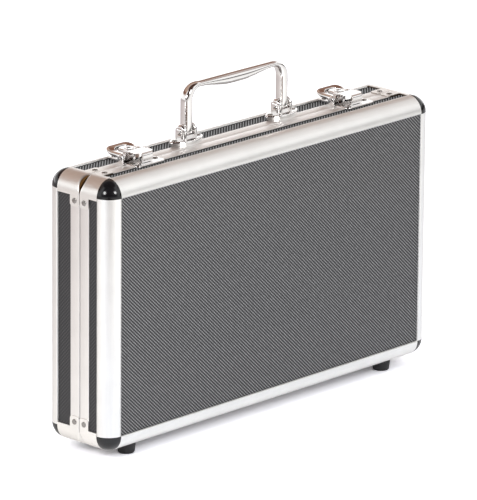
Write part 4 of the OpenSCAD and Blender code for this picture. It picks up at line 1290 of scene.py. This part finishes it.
# Zones of the studio that gloss shows: azimuth and elevation with their half sizes, colour
# and softness. Bright backdrop, warm wall above it, dark room and ceiling on the near side.
STUDIO = (
    (50, 70, 12, 10, (1.3, 1.29, 1.28), 5),
    (50, 62, 1, 6, (3.2, 3.18, 3.2), 4),
    (85, 66, 41, 17, linear("c0a493"), 6),
    (82, 62, 31, 6, linear("7f5b4b"), 4),
    (-12, 40, 43, 2.5, linear("8a6a59"), 3.5),
    (0, 200, 90, 32, linear("4a3228"), 5),
    (-25, 34, 5, 7, linear("3a3432"), 2),
    (-134, 54, 32, 32, linear("3c2820"), 8),
)


class FLIGHTCASE_OT_stage(bpy.types.Operator):
    """Pale floor, soft studio light and the camera"""

    bl_idname = "flight_case.stage"
    bl_label = "Stage"

    def execute(self, context):
        scene = context.scene
        self.floor(scene)
        self.world(scene)
        self.lamp("Left softbox", (-0.866, -0.167, 0.471))
        self.lamp("Front softbox", (-0.119, -0.852, 0.510))
        self.camera(scene)
        scene.view_settings.view_transform = "Standard"
        return {"FINISHED"}

    def floor(self, scene):
        mesh = bpy.data.meshes.new("floor")
        t = np.linspace(-12, 12, 9)
        x, y = np.meshgrid(t, t, indexing="ij")
        points = np.stack([x, y, np.zeros_like(x)], -1).reshape(-1, 3)
        mesh.from_pydata(points.tolist(), [], quads(9, 9)[:, ::-1].tolist())
        floor = bpy.data.objects.new("floor", mesh)
        scene.collection.objects.link(floor)
        colour = tuple(scene.flight_case_colours.floor)
        material, graph, shader = new_material("Pale floor", colour, "ShaderNodeBsdfDiffuse")
        path = graph.node("ShaderNodeLightPath")
        y = graph.place()[1]
        # Painted reflection for glossy rays: pale in front of the case, pinkish grey behind it
        # as painted shade
        glossy = graph.blend(graph.ramp(y, -0.3, 0.7), (1.12, 1.11, 1.09), linear("dad1cf"))
        # Painted reflection of the dark room, for glossy rays: the floor darkens away from the
        # case, on the side where the camera stands
        near, aside = graph.along((-0.73, -0.68, 0.0)), graph.along((0.68, -0.73, 0.0))
        dark = graph.math("MULTIPLY", graph.ramp(near, 0.58, 0.72),
                          graph.ramp(graph.math("ABSOLUTE", aside), 0.3, 0.5, 1.0, 0.0))
        glossy = graph.blend(dark, glossy, linear("5a4236"))
        # Painted reflection for glossy rays: a cool strip lies along the front of the case
        front = graph.math("ABSOLUTE", graph.math("ADD", y, 0.14))
        glossy = graph.blend(graph.ramp(front, 0.06, 0.16, 1.0, 0.0), glossy, (1.07, 1.1, 1.17))
        tone = graph.blend(path.outputs["Is Glossy Ray"], colour, glossy)
        tone = graph.blend(path.outputs["Is Camera Ray"], tone, (1.55, 1.55, 1.62))
        graph.set(shader.inputs["Color"], tone)
        mesh.materials.append(material)
        floor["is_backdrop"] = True

    def world(self, scene):
        """Even light, with the studio's zones laid over each other for glossy rays."""
        scene.world = bpy.data.worlds.new("Studio")
        scene.world.use_nodes = True
        graph = Graph(scene.world.node_tree)
        path = graph.node("ShaderNodeLightPath")
        x, y, z = graph.place("Generated")
        up, turn = graph.math("ARCSINE", z), graph.math("ARCTAN2", y, x)
        studio = (1.15, 1.15, 1.15)
        for azimuth, half_width, elevation, half_height, colour, soft in STUDIO:
            height = graph.math("ABSOLUTE", graph.math("SUBTRACT", up,
                                                       math.radians(elevation)))
            off = graph.math("SUBTRACT", turn, math.radians(azimuth))
            off = graph.math("ABSOLUTE", graph.math("ARCTAN2", graph.math("SINE", off),
                                                    graph.math("COSINE", off)))
            inside = (graph.ramp(value, math.radians(half - soft), math.radians(half + soft),
                                 1.0, 0.0)
                      for value, half in ((height, half_height), (off, half_width)))
            studio = graph.blend(graph.math("MULTIPLY", *inside), studio, colour)
        colour = graph.blend(path.outputs["Is Glossy Ray"], (0.78, 0.78, 0.78), studio)
        colour = graph.blend(path.outputs["Is Camera Ray"], colour, (1.0, 1.0, 1.0))
        back = graph.node("ShaderNodeBackground", {"Color": colour, "Strength": 1.0})
        graph.node("ShaderNodeOutputWorld", {"Surface": back.outputs[0]})

    def lamp(self, name, way, distance=1.3, spread=15.0, radiance=18.0):
        """Round lamp seen under the given angle, with the given brightness."""
        way = np.asarray(way) / np.linalg.norm(way)
        radius = distance * math.tan(math.radians(spread / 2))
        data = bpy.data.lights.new(name, "AREA")
        data.shape = "DISK"
        data.size = 2 * radius
        data.energy = radiance * math.pi ** 2 * radius ** 2
        lamp = bpy.data.objects.new(name, data)
        lamp.location = np.array([0, 0, Z_MID / 1000]) + way * distance
        lamp.rotation_euler = Vector(way).to_track_quat("Z", "Y").to_euler()
        bpy.context.scene.collection.objects.link(lamp)

    def camera(self, scene):
        data = bpy.data.cameras.new("Camera")
        data.lens = 428.4
        data.sensor_width = 36.0
        data.clip_end = 100
        camera = bpy.data.objects.new("Camera", data)
        turn = np.stack([CAMERA_RIGHT, CAMERA_UP, CAMERA_BACK], 1)
        camera.matrix_world = Matrix(turn.tolist()).to_4x4()
        camera.location = CAMERA_PLACE
        scene.collection.objects.link(camera)
        scene.camera = camera


class FLIGHTCASE_PT_panel(bpy.types.Panel):
    """Lists the steps that finish the case"""

    bl_idname = "FLIGHTCASE_PT_panel"
    bl_label = "Flight Case"
    bl_space_type = "VIEW_3D"
    bl_region_type = "UI"
    bl_category = "Flight Case"

    def draw(self, context):
        for group in (context.scene.flight_case_sizes, context.scene.flight_case_colours):
            column = self.layout.column(align=True)
            for key in group.__annotations__:
                column.prop(group, key)
        column = self.layout.column(align=True)
        for step in STEPS:
            column.operator(step.bl_idname)


STEPS = (
    FLIGHTCASE_OT_edge_rails,
    FLIGHTCASE_OT_seam_rails,
    FLIGHTCASE_OT_ball_corners,
    FLIGHTCASE_OT_corner_plates,
    FLIGHTCASE_OT_panels,
    FLIGHTCASE_OT_rivets,
    FLIGHTCASE_OT_feet,
    FLIGHTCASE_OT_handle,
    FLIGHTCASE_OT_handle_mounts,
    FLIGHTCASE_OT_latch_levers,
    FLIGHTCASE_OT_latch_hooks,
    FLIGHTCASE_OT_latch_plates,
    FLIGHTCASE_OT_hinges,
    FLIGHTCASE_OT_linings,
    FLIGHTCASE_OT_stage,
)
CLASSES = (FlightCaseSizes, FlightCaseColours) + STEPS + (FLIGHTCASE_PT_panel,)


def register():
    for cls in CLASSES:
        bpy.utils.register_class(cls)
    bpy.types.Scene.flight_case_sizes = bpy.props.PointerProperty(type=FlightCaseSizes)
    bpy.types.Scene.flight_case_colours = bpy.props.PointerProperty(type=FlightCaseColours)


def unregister():
    del bpy.types.Scene.flight_case_sizes
    del bpy.types.Scene.flight_case_colours
    for cls in reversed(CLASSES):
        bpy.utils.unregister_class(cls)


def main():
    """Registers the add-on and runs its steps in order."""
    register()
    bpy.ops.flight_case.edge_rails()
    bpy.ops.flight_case.seam_rails()
    bpy.ops.flight_case.ball_corners()
    bpy.ops.flight_case.corner_plates()
    bpy.ops.flight_case.panels()
    bpy.ops.flight_case.rivets()
    bpy.ops.flight_case.feet()
    bpy.ops.flight_case.handle()
    bpy.ops.flight_case.handle_mounts()
    bpy.ops.flight_case.latch_levers()
    bpy.ops.flight_case.latch_hooks()
    bpy.ops.flight_case.latch_plates()
    bpy.ops.flight_case.hinges()
    bpy.ops.flight_case.linings()
    bpy.ops.flight_case.stage()
    boxes = {"cad": cad_box, "visual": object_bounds()}
    {k: [list(map(float, corner)) for corner in v] for k, v in boxes.items()}


if __name__ == "__main__":
    main()
